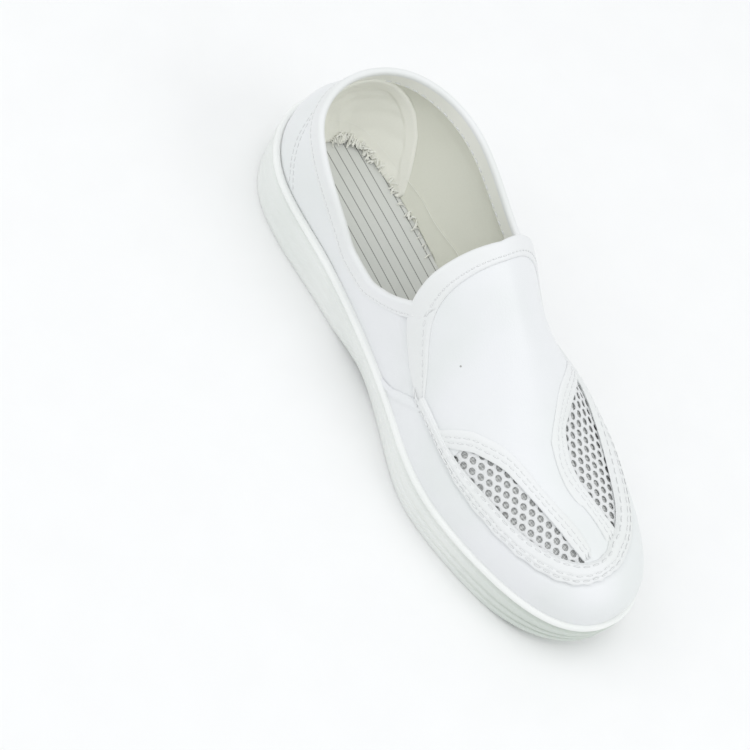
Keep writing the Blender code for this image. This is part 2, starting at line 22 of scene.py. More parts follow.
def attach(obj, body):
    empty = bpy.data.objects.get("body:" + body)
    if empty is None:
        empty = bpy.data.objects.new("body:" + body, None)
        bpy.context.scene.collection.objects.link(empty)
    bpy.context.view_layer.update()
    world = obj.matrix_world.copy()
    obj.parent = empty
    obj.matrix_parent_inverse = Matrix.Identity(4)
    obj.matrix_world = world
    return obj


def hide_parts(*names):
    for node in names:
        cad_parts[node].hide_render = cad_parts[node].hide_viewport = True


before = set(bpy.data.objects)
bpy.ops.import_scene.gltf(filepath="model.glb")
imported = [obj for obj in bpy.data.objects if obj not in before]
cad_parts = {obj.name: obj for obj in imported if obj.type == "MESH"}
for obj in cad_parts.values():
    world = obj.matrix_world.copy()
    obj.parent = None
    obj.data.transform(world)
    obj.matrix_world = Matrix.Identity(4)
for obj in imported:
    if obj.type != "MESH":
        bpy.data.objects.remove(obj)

logging.basicConfig(level=logging.INFO, format="%(message)s")
LOG = logging.getLogger("shoe")

BODY = "root"
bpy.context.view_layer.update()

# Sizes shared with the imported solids
SOLE_LENGTH = 0.275
TOE_WIDTH, BALL_WIDTH, WAIST_WIDTH, HEEL_WIDTH = 0.0600, 0.0945, 0.0755, 0.0730
TOE_RADIUS, HEEL_RADIUS = 0.034, 0.030
RIM_AT_TOE, RIM_AT_BALL, RIM_AT_WAIST, RIM_AT_SEAT, RIM_AT_HEEL = 0.0240, 0.0205, 0.0235, 0.0275, 0.0280
TOE_SPRING, ARCH_RISE, HEEL_BEVEL, EDGE_CHAMFER = 0.0080, 0.0030, 0.0010, 0.0012
WAIST_TUCK, EDGE_TUCK = 0.0060, 0.0015
TREAD_DEPTH, TREAD_WIDTH, TREAD_PITCH, TREAD_MARGIN = 0.0015, 0.0035, 0.0095, 0.0080
RIM_WIDTH, RIM_HEIGHT, GROOVE_HEIGHT, GROOVE_DEPTH = 0.0026, 0.0034, 0.0014, 0.0018
RIB_DEPTH, SEAT_DEPTH, UPPER_WALL = 0.0009, 0.0020, 0.0016
TOE_HEIGHT, VAMP_HEIGHT, INSTEP_HEIGHT, THROAT_HEIGHT, ANKLE_HEIGHT = 0.0385, 0.0530, 0.0730, 0.0935, 0.1200
TOE_RUN, HEEL_RUN, HEEL_LEAN = 0.036, 0.034, 0.026
COLLAR_JOIN, COLLAR_DIP_OUTER, COLLAR_DIP_INNER, COLLAR_BACK = 0.0640, 0.0520, 0.0645, 0.0695
WALL_SPLAY_OUTER, WALL_SPLAY_INNER, TOE_SPLAY = 0.0090, 0.0100, 0.0028
INSOLE_THICKNESS, INSOLE_CLEARANCE, GAP = 0.0040, 0.0012, 0.0003

Curve = Callable[[np.ndarray], np.ndarray]
Line = Callable[[np.ndarray], tuple[np.ndarray, np.ndarray]]
Place = Callable[[np.ndarray, np.ndarray], np.ndarray]
Table = Sequence[tuple[float, ...]]

# Station from the toe, width it follows, outer half and inner half as shares
OUTLINE: Table = (
    (0.07, TOE_WIDTH, 0.515, 0.485), (0.20, BALL_WIDTH, 0.468, 0.432), (0.34, BALL_WIDTH, 0.522, 0.478),
    (0.48, BALL_WIDTH, 0.456, 0.425), (0.62, WAIST_WIDTH, 0.515, 0.485), (0.76, HEEL_WIDTH, 0.525, 0.515),
    (0.90, HEEL_WIDTH, 0.485, 0.445),
)
RIM_LINE: Table = (
    (0.00, RIM_AT_TOE), (0.25, RIM_AT_BALL), (0.50, RIM_AT_WAIST), (0.75, RIM_AT_SEAT), (1.00, RIM_AT_HEEL),
)
FLOOR_LINE: Table = (
    (0.00, TOE_SPRING), (0.14, 0.0), (0.46, 0.0), (0.56, ARCH_RISE), (0.66, 0.0), (0.94, 0.0),
    (1.00, HEEL_BEVEL),
)
TUCK_LINE: Table = (
    (0.00, EDGE_TUCK), (0.30, EDGE_TUCK), (0.52, WAIST_TUCK), (0.66, 0.6 * WAIST_TUCK), (0.80, EDGE_TUCK),
    (1.00, EDGE_TUCK),
)
RIB_FADE: Table = ((0.00, 1.0), (0.20, 0.9), (0.45, 0.35), (1.00, 0.25))
ROOF_LINE: Table = (
    (0.00, TOE_HEIGHT), (0.12, 0.12 * TOE_HEIGHT + 0.80 * VAMP_HEIGHT), (0.28, VAMP_HEIGHT),
    (0.42, INSTEP_HEIGHT), (0.55, THROAT_HEIGHT), (0.90, ANKLE_HEIGHT),
)
COLLAR_OUTER: Table = (
    (0.44, 1.25 * COLLAR_JOIN), (0.53, 1.12 * COLLAR_JOIN), (0.55, 1.05 * COLLAR_JOIN),
    (0.57, 0.97 * COLLAR_JOIN), (0.60, COLLAR_DIP_OUTER + 0.002), (0.64, COLLAR_DIP_OUTER - 0.006),
    (0.69, COLLAR_DIP_OUTER - 0.0074), (0.74, COLLAR_DIP_OUTER - 0.0022), (0.79, 0.81 * COLLAR_BACK),
    (0.87, 0.93 * COLLAR_BACK), (1.00, COLLAR_BACK),
)
COLLAR_INNER: Table = (
    (0.44, 1.25 * COLLAR_JOIN), (0.54, COLLAR_JOIN), (0.60, COLLAR_DIP_INNER), (0.80, 1.03 * COLLAR_BACK),
    (1.00, COLLAR_BACK),
)
# Station, outer and inner value
ROUNDNESS: Table = (
    (0.00, 2.60, 2.60), (0.25, 1.95, 2.35), (0.45, 1.65, 1.62), (0.70, 2.50, 2.50), (1.00, 2.60, 2.60),
)
SPLAY: Table = (
    (0.00, TOE_SPLAY, TOE_SPLAY), (0.16, TOE_SPLAY, TOE_SPLAY),
    (0.40, 0.12 * WALL_SPLAY_OUTER, 0.08 * WALL_SPLAY_INNER),
    (0.60, WALL_SPLAY_OUTER, 0.40 * WALL_SPLAY_INNER),
    (0.82, 0.35 * WALL_SPLAY_OUTER, WALL_SPLAY_INNER),
    (1.00, 0.25 * WALL_SPLAY_OUTER, 0.25 * WALL_SPLAY_OUTER),
)
# Angle round the toe, lower and upper rise of the apron strip
APRON: Table = (
    (-82, 0.270, 0.315), (-70, 0.325, 0.385), (-58, 0.345, 0.470), (-46, 0.375, 0.520), (-34, 0.450, 0.610),
    (-22, 0.560, 0.720), (-10, 0.675, 0.815), (2, 0.730, 0.865), (14, 0.715, 0.865), (26, 0.655, 0.792),
    (38, 0.565, 0.716), (50, 0.485, 0.652), (62, 0.390, 0.560), (72, 0.320, 0.450), (82, 0.272, 0.345),
)
# Share along the window from its rear end, and its width in rise
WINDOW_OUTER: Table = (
    (0.00, 0.0), (0.10, 0.125), (0.26, 0.195), (0.45, 0.210), (0.65, 0.170), (0.84, 0.085), (1.00, 0.0),
)
WINDOW_INNER: Table = (
    (0.00, 0.0), (0.04, 0.085), (0.12, 0.185), (0.25, 0.270), (0.34, 0.300), (0.50, 0.293), (0.70, 0.246),
    (0.80, 0.187), (0.90, 0.111), (1.00, 0.0),
)
# Instep tab: angle and rise of its free edge, then of the inner line of its binding
TAB: Table = (
    (81.2, 0.262, 81.0, 0.300), (83.6, 0.276, 83.2, 0.345), (86.5, 0.290, 85.6, 0.390),
    (90.5, 0.330, 88.5, 0.440), (94.5, 0.395, 91.2, 0.500), (97.0, 0.530, 93.5, 0.600),
    (98.2, 0.645, 94.6, 0.700), (99.0, 0.830, 95.3, 0.840), (99.2, 1.000, 95.5, 1.000),
)
# Vamp-side line of the strip beside each window, and the angle of its window-side line across from it
STRIP_OUTER: Table = (
    (-77.0, 0.310, -72.8), (-75.0, 0.355, -71.5), (-73.0, 0.440, -69.5), (-70.0, 0.545, -66.5),
    (-67.0, 0.615, -63.5), (-63.5, 0.685, -60.5), (-59.0, 0.745, -57.0), (-52.5, 0.785, -51.0),
    (-46.5, 0.810, -45.5), (-38.5, 0.845, -38.0), (-27.0, 0.880, -28.5), (-18.0, 0.870, -22.0),
    (-12.0, 0.800, -17.5),
)
STRIP_INNER: Table = (
    (78.5, 0.350, 74.2), (76.5, 0.500, 73.2), (74.5, 0.600, 72.0), (69.0, 0.795, 67.5), (63.5, 0.900, 62.5),
    (56.5, 0.980, 56.5), (51.0, 1.015, 51.5), (46.0, 1.035, 47.5), (40.5, 1.042, 42.5),
    (31.0, 1.018, 35.0), (22.5, 0.970, 29.5), (16.0, 0.915, 27.0), (10.0, 0.840, 25.0),
)
# Rear edge of the toe guard: angle, rise
GUARD_REAR: Table = (
    (92.6, 0.000), (91.4, 0.020), (89.5, 0.055), (88.0, 0.090), (86.5, 0.145), (85.0, 0.195), (83.5, 0.240),
    (82.0, 0.275),
)
# Double row of stitches at the heel, and the seam threads inside: angle, rise
HEEL_ROWS: Table = (
    (155.5, 0.160), (150.5, 0.128), (145.2, 0.083), (141.0, 0.045), (136.5, 0.010),
)
SEAM_THREAD: Table = (
    (190.0, 0.050), (180.0, 0.044), (169.8, 0.040), (150.5, 0.036), (136.2, 0.034), (122.0, 0.044),
    (115.0, 0.048), (109.2, 0.062), (105.2, 0.076), (98.0, 0.100),
)
# Heel patch: angle from the heel's middle, rise of its edge and of its band's inner line
HEEL_PATCH: Table = (
    (0.0, 0.205, 0.160), (12.0, 0.198, 0.157), (21.0, 0.185, 0.148), (37.0, 0.136, 0.102),
    (44.0, 0.102, 0.070), (49.5, 0.066, 0.036), (56.0, 0.020, 0.012),
)
# How far the lining's foot reaches in over the insole, by angle
CUP: Table = (
    (-180, 0.0215), (-160, 0.0170), (-130, 0.0070), (-100, 0.0030), (-75, 0.0), (0, 0.0), (70, 0.0),
    (82, 0.0080), (95, 0.0160), (108, 0.0190), (150, 0.0205), (180, 0.0215),
)
CUP_HEIGHT = 0.030
# Where the dark speck lies on the vamp: angle, rise
SPECK = (-82.0, 0.56)
# A point in the foot's room that every outer side looks away from
INSIDE = np.array([0.0, 0.0, 0.035])
# Points of a closing sheet that lie this near are one
MERGE = 2e-5
# Radius of a cut leather edge
EDGE_ROUND = 0.0003
# Soft folds: angle, rise, reach in degrees, reach in rise, height (minus is a hollow)
FOLDS: Table = (
    (-94, 0.17, 6, 0.09, -0.0008), (-91, 0.31, 6, 0.05, 0.0006), (97, 0.18, 8, 0.10, -0.0009),
    (62, 0.78, 14, 0.12, -0.0007), (0, 0.95, 30, 0.10, -0.0004), (-30, 0.96, 24, 0.14, 0.0004),
    (-116, 0.45, 7, 0.40, -0.0006), (-128, 0.50, 9, 0.40, 0.0004), (112, 0.55, 8, 0.22, 0.0008),
    (128, 0.40, 10, 0.35, -0.0006), (-60, 0.15, 16, 0.10, 0.0003), (20, 0.25, 22, 0.14, 0.0003),
    (-75, 0.80, 12, 0.20, -0.0003), (160, 0.45, 14, 0.30, 0.0004), (-158, 0.42, 14, 0.30, -0.0004),
)


def hermite(at: np.ndarray, xs: np.ndarray, ys: np.ndarray, slopes: np.ndarray) -> np.ndarray:
    """Cubic through points with given slopes.

    Args:
        at: Where it is asked.
        xs: The points' places, rising.
        ys: Their values.
        slopes: The slope at each.

    Returns:
        A value for each place asked; past the ends it stays level.
    """
    at = np.clip(at, xs[0], xs[-1])
    i = np.clip(np.searchsorted(xs, at, side="right") - 1, 0, len(xs) - 2)
    h = xs[i + 1] - xs[i]
    t = (at - xs[i]) / h
    start = (1 + 2 * t) * (1 - t) ** 2 * ys[i] + t * (1 - t) ** 2 * h * slopes[i]
    return start + t * t * (3 - 2 * t) * ys[i + 1] + t * t * (t - 1) * h * slopes[i + 1]


def even_curve(xs: Sequence[float], ys: Sequence[float]) -> Curve:
    """Smooth curve that never overshoots its points.

    Args:
        xs: The points' places, rising.
        ys: Their values.

    Returns:
        The curve.
    """
    x, y = np.array(xs, float), np.array(ys, float)
    rise = np.diff(y) / np.diff(x)
    product, total = rise[1:] * rise[:-1], rise[1:] + rise[:-1]
    middle = np.where(product > 0, 2 * product / np.where(product > 0, total, 1.0), 0.0)
    slopes = np.concatenate([[rise[0]], middle, [rise[-1]]])
    return lambda at: hermite(at, x, y, slopes)


def column_curve(table: Table, column: int = 1, key: int = 0) -> Curve:
    """Smooth curve through one column of a table over another, in rising order."""
    rows = sorted(table, key=lambda row: row[key])
    return even_curve([row[key] for row in rows], [row[column] for row in rows])


def level_spline(xs: Sequence[float], ys: Sequence[float]) -> Curve:
    """Cubic spline with level ends.

    Args:
        xs: The points' places, rising.
        ys: Their values.

    Returns:
        The curve.
    """
    x, y = np.array(xs, float), np.array(ys, float)
    count = len(x)
    matrix, right = np.zeros((count, count)), np.zeros(count)
    matrix[0, 0] = matrix[-1, -1] = 1.0
    h, rise = np.diff(x), np.diff(y) / np.diff(x)
    for i in range(1, count - 1):
        matrix[i, i - 1:i + 2] = h[i], 2 * (h[i - 1] + h[i]), h[i - 1]
        right[i] = 3 * (h[i] * rise[i - 1] + h[i - 1] * rise[i])
    slopes = np.linalg.solve(matrix, right)
    return lambda at: hermite(at, x, y, slopes)


def ease(value: np.ndarray | float) -> np.ndarray:
    """Smooth step from 0 to 1."""
    t = np.clip(value, 0.0, 1.0)
    return t * t * (3 - 2 * t)


def between(start: np.ndarray | float, end: np.ndarray | float, share: np.ndarray | float) -> np.ndarray:
    """Straight change from a start to an end over a share."""
    return start + (end - start) * share


def wrapped(degrees: np.ndarray) -> np.ndarray:
    """Angles brought back between -180 and 180 degrees."""
    return np.where(degrees > 180.0, degrees - 360.0, degrees)


def unit(vectors: np.ndarray) -> np.ndarray:
    """Vectors of length one."""
    return vectors / np.maximum(np.linalg.norm(vectors, axis=-1, keepdims=True), 1e-12)


class Last:
    """The foot form that the upper and the sole are drawn on."""

    def __init__(self) -> None:
        """Draw the curves through the tables and centre the outline."""
        angles = [math.acos(1 - 2 * row[0]) for row in OUTLINE]
        ends = math.sqrt(TOE_RADIUS * SOLE_LENGTH / 2), math.sqrt(HEEL_RADIUS * SOLE_LENGTH / 2)

        def half(column: int) -> Curve:
            """Half width over the sine of the angle, so the ends come out round."""
            middle = [row[1] * row[column] / math.sin(a) for row, a in zip(OUTLINE, angles)]
            return level_spline([0.0] + angles + [math.pi], [ends[0]] + middle + [ends[1]])

        self.outer, self.inner = half(2), half(3)
        self.rim, self.floor = column_curve(RIM_LINE), column_curve(FLOOR_LINE)
        self.tuck, self.fade = column_curve(TUCK_LINE), column_curve(RIB_FADE)
        self.roof = column_curve(ROOF_LINE)
        self.collar_outer, self.collar_inner = column_curve(COLLAR_OUTER), column_curve(COLLAR_INNER)
        self.round_outer, self.round_inner = column_curve(ROUNDNESS, 1), column_curve(ROUNDNESS, 2)
        self.splay_outer, self.splay_inner = column_curve(SPLAY, 1), column_curve(SPLAY, 2)
        self.shift = 0.0
        across = self.edge(np.linspace(-math.pi, math.pi, 145))[..., 0]
        self.shift = -0.5 * (across.max() + across.min())

    def edge(self, angle: np.ndarray) -> np.ndarray:
        """Plan point on the rim's outermost line.

        Args:
            angle: Angle round the sole in radians.

        Returns:
            X and Y, one pair for each angle.
        """
        size = np.abs(angle)
        half = np.where(angle >= 0, self.inner(size), self.outer(size))
        return np.stack([self.shift + np.sin(angle) * half, -0.5 * SOLE_LENGTH * np.cos(angle)], -1)

    def outward(self, angle: np.ndarray) -> np.ndarray:
        """Plan direction out of the rim."""
        along = unit(self.edge(angle + 1e-4) - self.edge(angle - 1e-4))
        return np.stack([along[..., 1], -along[..., 0]], -1)

    def plan(self, angle: np.ndarray, inset: np.ndarray | float) -> np.ndarray:
        """Plan point a given distance inside the rim."""
        angle = np.asarray(angle, float)
        return self.edge(angle) - self.outward(angle) * np.broadcast_to(inset, angle.shape)[..., None]

    @staticmethod
    def station(y: np.ndarray) -> np.ndarray:
        """Share of the length from the toe."""
        return np.clip(y / SOLE_LENGTH + 0.5, 0.0, 1.0)

    def point(self, angle: np.ndarray, rise: np.ndarray) -> np.ndarray:
        """Outside of the upper.

        Args:
            angle: Angle round the sole in radians.
            rise: Share of the way from the sole's edge to the ridge, 0 to 1.

        Returns:
            Points, one for each angle and rise.
        """
        foot = self.plan(angle, RIM_WIDTH + GAP)
        base = self.rim(self.station(foot[..., 1])) - SEAT_DEPTH + GAP
        at = self.station(self.edge(angle)[..., 1])
        power = np.where(angle > 0, self.round_inner(at), self.round_outer(at))
        turn = np.clip(rise, 0.0, 1.0) * math.pi / 2
        lean_in, climb = np.cos(turn) ** (2 / power), np.sin(turn) ** (2 / power)
        facing = np.cos(angle)
        ridge = -(0.5 * SOLE_LENGTH - np.where(facing > 0, TOE_RUN, HEEL_RUN)) * facing
        splay = np.where(angle > 0, self.splay_inner(at), self.splay_outer(at))
        push = self.outward(angle) * (splay * np.sin(math.pi * rise) ** 2)[..., None]
        x = self.shift + (foot[..., 0] - self.shift) * lean_in + push[..., 0]
        y = ridge + (foot[..., 1] - ridge) * lean_in + push[..., 1]
        y = y - HEEL_LEAN * np.maximum(0.0, -facing) ** 3 * climb * ease(rise / 0.18)
        return np.stack([x, y, base + (self.roof(self.station(y)) - base) * climb], -1)

    def normal(self, angle: np.ndarray, rise: np.ndarray) -> np.ndarray:
        """Outward direction of the upper.

        Args:
            angle: Angle round the sole in radians.
            rise: Share of the way up, 0 to 1.

        Returns:
            Directions, one for each angle and rise.
        """
        step = 2e-3
        rise = np.clip(rise, 0.02, 0.975)
        around = self.point(angle + step, rise) - self.point(angle - step, rise)
        up = self.point(angle, rise + step) - self.point(angle, rise - step)
        return unit(np.cross(around, up))

    def skin(self, degrees: np.ndarray, rise: np.ndarray, lift: np.ndarray | float = 0.0) -> np.ndarray:
        """Point on the upper's surface, folds included, moved outward by a lift.

        Args:
            degrees: Angle round the sole from the toe, plus to the inner side.
            rise: Share of the way from the sole's edge to the ridge; past 1 is the other side.
            lift: Distance outward from the leather's outside.

        Returns:
            Points, one for each angle and rise.
        """
        degrees, rise = np.broadcast_arrays(np.asarray(degrees, float), np.asarray(rise, float))
        over = rise > 1.0
        angle = np.radians(np.where(over, -degrees, degrees))
        rise = np.where(over, 2.0 - rise, rise)
        share = np.clip((rise - 0.9) / 0.1, 0.0, 1.0)[..., None]
        out = unit(self.normal(angle, rise) * (1 - 0.5 * share) + self.normal(-angle, rise) * 0.5 * share)
        half = 0.5 * share[..., 0]
        here, across = fold_height(np.degrees(angle), rise), fold_height(-np.degrees(angle), rise)
        fold = here * (1 - half) + across * half
        lift = np.broadcast_to(lift, rise.shape) + fold
        return self.point(angle, rise) + out * lift[..., None]

    def collar_height(self, x: np.ndarray, y: np.ndarray) -> np.ndarray:
        """Height of the collar's edge, blended from side to side.

        Args:
            x: Place across.
            y: Place along.

        Returns:
            A height for each plan point.
        """
        side = ease((x - self.shift) / HEEL_RADIUS * 0.5 + 0.5)
        at = self.station(y)
        return self.collar_outer(at) * (1 - side) + self.collar_inner(at) * side

    def collar_rise(self, degrees: np.ndarray, below: np.ndarray | float) -> np.ndarray:
        """Rise at which the wall reaches a distance below the collar's edge.

        Args:
            degrees: Angles round the sole.
            below: How far below the edge.

        Returns:
            A rise for each angle.
        """
        level = np.linspace(0.0, 0.95, 300)
        wall = self.point(np.radians(np.ravel(degrees))[:, None], level[None, :])
        drop = np.broadcast_to(below, np.shape(degrees)).ravel()[:, None]
        over = wall[..., 2] - self.collar_height(wall[..., 0], wall[..., 1]) + drop
        above = over > 0
        first = np.where(above.any(axis=1), np.maximum(np.argmax(above, axis=1), 1), len(level) - 1)
        row = np.arange(len(first))
        low, high = over[row, first - 1], over[row, first]
        found = level[first - 1] + (level[first] - level[first - 1]) * (-low) / (high - low)
        return np.clip(found, 0.02, 0.60).reshape(np.shape(degrees))


def fold_height(degrees: np.ndarray, rise: np.ndarray) -> np.ndarray:
    """Height of the soft troughs and ridges in the leather.

    Args:
        degrees: Angle round the sole.
        rise: Share of the way up.

    Returns:
        A height for each angle and rise; minus is a hollow.
    """
    total = np.zeros(np.shape(degrees))
    for angle, level, wide, tall, height in FOLDS:
        apart = (np.asarray(degrees) - angle + 180.0) % 360.0 - 180.0
        total = total + height * np.exp(-(apart / wide) ** 2 - ((rise - level) / tall) ** 2)
    return total


LAST = Last()
APRON_LOW, APRON_HIGH = column_curve(APRON, 1), column_curve(APRON, 2)
TAB_EDGE_ANGLE = column_curve(TAB, 0, 1)
OUTER_SPAN, INNER_SPAN = (-71.0, -18.0), (74.0, 26.0)


def window_top(degrees: np.ndarray) -> np.ndarray:
    """Rise of the windows' upper edges, or of the apron seam where there is no window.

    Args:
        degrees: Angle round the sole.

    Returns:
        A rise for each angle.
    """
    total = APRON_HIGH(degrees)
    for (start, end), rows in ((OUTER_SPAN, WINDOW_OUTER), (INNER_SPAN, WINDOW_INNER)):
        share = (np.asarray(degrees) - start) / (end - start)
        inside = (share > 0) & (share < 1)
        total = total + np.where(inside, column_curve(rows)(np.clip(share, 0, 1)), 0.0)
    return total


# Shader tools


class Value:
    """A shader socket that takes part in sums."""

    def __init__(self, tree: "Tree", socket: bpy.types.NodeSocket) -> None:
        """Keep the material's tree and the socket."""
        self.tree, self.socket = tree, socket

    def _sum(self, operation: str, first: "Value | float", second: "Value | float") -> "Value":
        """One Math node."""
        return self.tree.node("ShaderNodeMath", {"operation": operation}, {0: first, 1: second})

    def __add__(self, other: "Value | float") -> "Value":
        """Sum."""
        return self._sum("ADD", self, other)

    def __sub__(self, other: "Value | float") -> "Value":
        """Difference."""
        return self._sum("SUBTRACT", self, other)

    def __rsub__(self, other: "Value | float") -> "Value":
        """Difference from a number."""
        return self._sum("SUBTRACT", other, self)

    def __mul__(self, other: "Value | float") -> "Value":
        """Product."""
        return self._sum("MULTIPLY", self, other)

    __radd__, __rmul__ = __add__, __mul__


class Tree:
    """A material's nodes, made by one method."""

    def __init__(self, name: str) -> None:
        """Start a material.

        Args:
            name: The material's name.
        """
        self.material = bpy.data.materials.new(name)
        self.material.use_nodes = True
        self.nodes, self.links = self.material.node_tree.nodes, self.material.node_tree.links
        self.shader = self.nodes["Principled BSDF"]

    def node(self, kind: str, settings: dict | None = None, values: dict | None = None,
             output: int | str = 0) -> Value:
        """Add a node.

        Args:
            kind: The node's type.
            settings: Properties, set before its sockets.
            values: Numbers, colours or links, by socket name or place.
            output: Which output to hand back.

        Returns:
            The chosen output.
        """
        made = self.nodes.new(kind)
        for name, setting in (settings or {}).items():
            setattr(made, name, setting)
        for key, value in (values or {}).items():
            if isinstance(value, Value):
                self.links.new(value.socket, made.inputs[key])
            else:
                made.inputs[key].default_value = value
        return Value(self, made.outputs[output])

    def set(self, **values: object) -> None:
        """Fix or link sockets of the material's own shader.

        Args:
            values: A number, colour or link for each socket, named with _ for a space.
        """
        for name, value in values.items():
            socket = self.shader.inputs[name.replace("_", " ")]
            if isinstance(value, Value):
                self.links.new(value.socket, socket)
            else:
                socket.default_value = value

    def place(self) -> Value:
        """Object coordinates."""
        return self.node("ShaderNodeTexCoord", output="Object")

    def noise(self, at: Value, scale: float, detail: float = 2.0, rough: float = 0.5) -> Value:
        """Cloudy noise from 0 to 1."""
        return self.node("ShaderNodeTexNoise", {}, {"Vector": at, "Scale": scale, "Detail": detail,
                                                    "Roughness": rough}, "Fac")

    def ramp(self, value: Value, low: float, high: float) -> Value:
        """A value's place between two levels, eased."""
        return self.node("ShaderNodeMapRange", {"interpolation_type": "SMOOTHSTEP"},
                         {"Value": value, "From Min": low, "From Max": high})

    def blend(self, share: Value, first: Sequence[float] | Value, second: Sequence[float] | Value) -> Value:
        """A colour between two, by a share."""
        return self.node("ShaderNodeMix", {"data_type": "RGBA"},
                         {0: share, 6: rgba(first), 7: rgba(second)}, 2)

    def parts(self, vector: Value) -> tuple[Value, Value]:
        """X and Y of a vector."""
        across = self.node("ShaderNodeSeparateXYZ", {}, {0: vector})
        return across, Value(self, across.socket.node.outputs["Y"])

    def wave(self, operation: str, value: Value, size: float = 0.0) -> Value:
        """Sine of a value, or another Math operation with one number."""
        return self.node("ShaderNodeMath", {"operation": operation}, {0: value, 1: size})

    def bump(self, height: Value, depth: float, under: Value | None = None) -> Value:
        """Normal of a height, for the shader's Normal.

        Args:
            height: The height, 0 to 1.
            depth: What a height of 1 means in metres.
            under: A normal that this one is laid over.

        Returns:
            The normal.
        """
        values = {"Strength": 1.0, "Distance": depth, "Height": height}
        if under is not None:
            values["Normal"] = under
        return self.node("ShaderNodeBump", {}, values)


def rgba(colour: Sequence[float] | Value) -> Sequence[float] | Value:
    """A colour with full alpha; a link stays as it is."""
    return colour if isinstance(colour, Value) else (*colour[:3], 1.0)


# Finishes


@dataclass(frozen=True)
class CoatedLeather:
    """Smooth white coated leather with a soft sheen."""

    light: tuple[float, float, float] = (0.838, 0.846, 0.862)
    shade: tuple[float, float, float] = (0.798, 0.820, 0.816)
    roughness: float = 0.40
    speck: tuple[float, float, float] | None = None
    speck_colour: tuple[float, float, float] = (0.38, 0.38, 0.36)

    def material(self, name: str) -> bpy.types.Material:
        """Make the material.

        Args:
            name: The material's name.

        Returns:
            The material.
        """
        tree = Tree(name)
        at = tree.place()
        cloud = tree.noise(at, 22.0, 2.0)
        colour = tree.blend(tree.ramp(cloud, 0.35, 0.68), self.light, self.shade)
        if self.speck is not None:
            apart = tree.node("ShaderNodeVectorMath", {"operation": "DISTANCE"}, {0: at, 1: self.speck},
                              "Value")
            colour = tree.blend(tree.ramp(apart, 0.0006, 0.0003), colour, self.speck_colour)
        smudge = tree.noise(at, 60.0, 3.0, 0.6)
        pores = tree.node("ShaderNodeTexVoronoi", {"feature": "SMOOTH_F1"}, {"Vector": at, "Scale": 1500.0})
        grain = tree.bump(pores, 0.000035)
        wave = tree.bump(tree.noise(at, 75.0, 2.0), 0.00022, grain)
        tree.set(Base_Color=colour, Roughness=self.roughness + 0.12 * (smudge - 0.5), Normal=wave,
                 Coat_Weight=0.12, Coat_Roughness=0.28, IOR=1.47)
        return tree.material


@dataclass(frozen=True)
class SoleRubber:
    """Off-white moulded sole, slightly green, finely textured under the rim, with painted shade darkening
    its lower side and, most, the foot of its toe.
    """

    light: tuple[float, float, float] = (0.925, 0.935, 0.920)
    shade: tuple[float, float, float] = (0.830, 0.855, 0.828)
    # Painted shade for the foot of the sole's side at the toe, near the floor
    foot: tuple[float, float, float] = (0.640, 0.690, 0.635)

    def material(self, name: str) -> bpy.types.Material:
        """Make the material; the UV map's V is the share of the way up the side.

        Args:
            name: The material's name.

        Returns:
            The material.
        """
        tree = Tree(name)
        at = tree.place()
        up = tree.parts(tree.node("ShaderNodeUVMap", {"uv_map": "side"}))[1]
        # Lower side under the groove: finely textured, and darkened as painted shade near the floor
        lower = 1.0 - tree.ramp(up, 0.60, 0.72)
        cloud = tree.noise(at, 30.0, 2.0)
        fine = tree.noise(at, 2600.0, 2.0, 0.7)
        # Random blotches, plus painted shade on the lower side
        blotch_and_low_shade = tree.ramp(cloud, 0.30, 0.75) * 0.5 + lower * 0.5
        grit = tree.bump(fine * lower, 0.00016)
        # Painted shade: the lower side turns darker towards the toe
        toward_toe = tree.ramp(tree.parts(at)[1], -0.060, -0.130)
        colour = tree.blend(lower * toward_toe * 0.85, tree.blend(blotch_and_low_shade, self.light, self.shade), self.foot)
        tree.set(Base_Color=colour, IOR=1.46,
                 Roughness=0.42 + lower * 0.16 + 0.10 * (cloud - 0.5),
                 Normal=tree.bump(tree.noise(at, 120.0), 0.00012, grit))
        return tree.material


class Weave(Enum):
    """How a cloth's threads run."""

    KNIT = "knit"
    BACKING = "backing"
    LINING = "lining"


@dataclass(frozen=True)
class Cloth:
    """Thread cloth: the window's knit, the grey layer behind it (its grey is painted shade), or the lining.
    """

    light: tuple[float, float, float]
    shade: tuple[float, float, float]
    weave: Weave
    thread: float = 0.00045

    def material(self, name: str) -> bpy.types.Material:
        """Make the material; its threads follow the piece's own UV map, in metres.

        Args:
            name: The material's name.

        Returns:
            The material.
        """
        tree = Tree(name)
        across, along = tree.parts(tree.node("ShaderNodeUVMap", {"uv_map": "flat"}))
        turn = 2 * math.pi / self.thread
        if self.weave is Weave.BACKING:
            slant = (across + along * 0.6) * turn * 0.5
            other = (across * 0.6 - along) * turn * 0.5
        else:
            slant, other = across * turn, along * turn
        threads = tree.wave("SINE", slant) * tree.wave("SINE", other) * 0.5 + 0.5
        fuzz = tree.noise(tree.place(), 900.0, 3.0, 0.7)
        share = threads * 0.55 + fuzz * 0.45
        depth = 0.00020 if self.weave is Weave.BACKING else 0.00007
        tree.set(Base_Color=tree.blend(tree.ramp(share, 0.25, 0.75), self.shade, self.light),
                 Roughness=0.80 + 0.15 * (fuzz - 0.5), Normal=tree.bump(share, depth),
                 Sheen_Weight=0.15, Sheen_Roughness=0.5)
        return tree.material


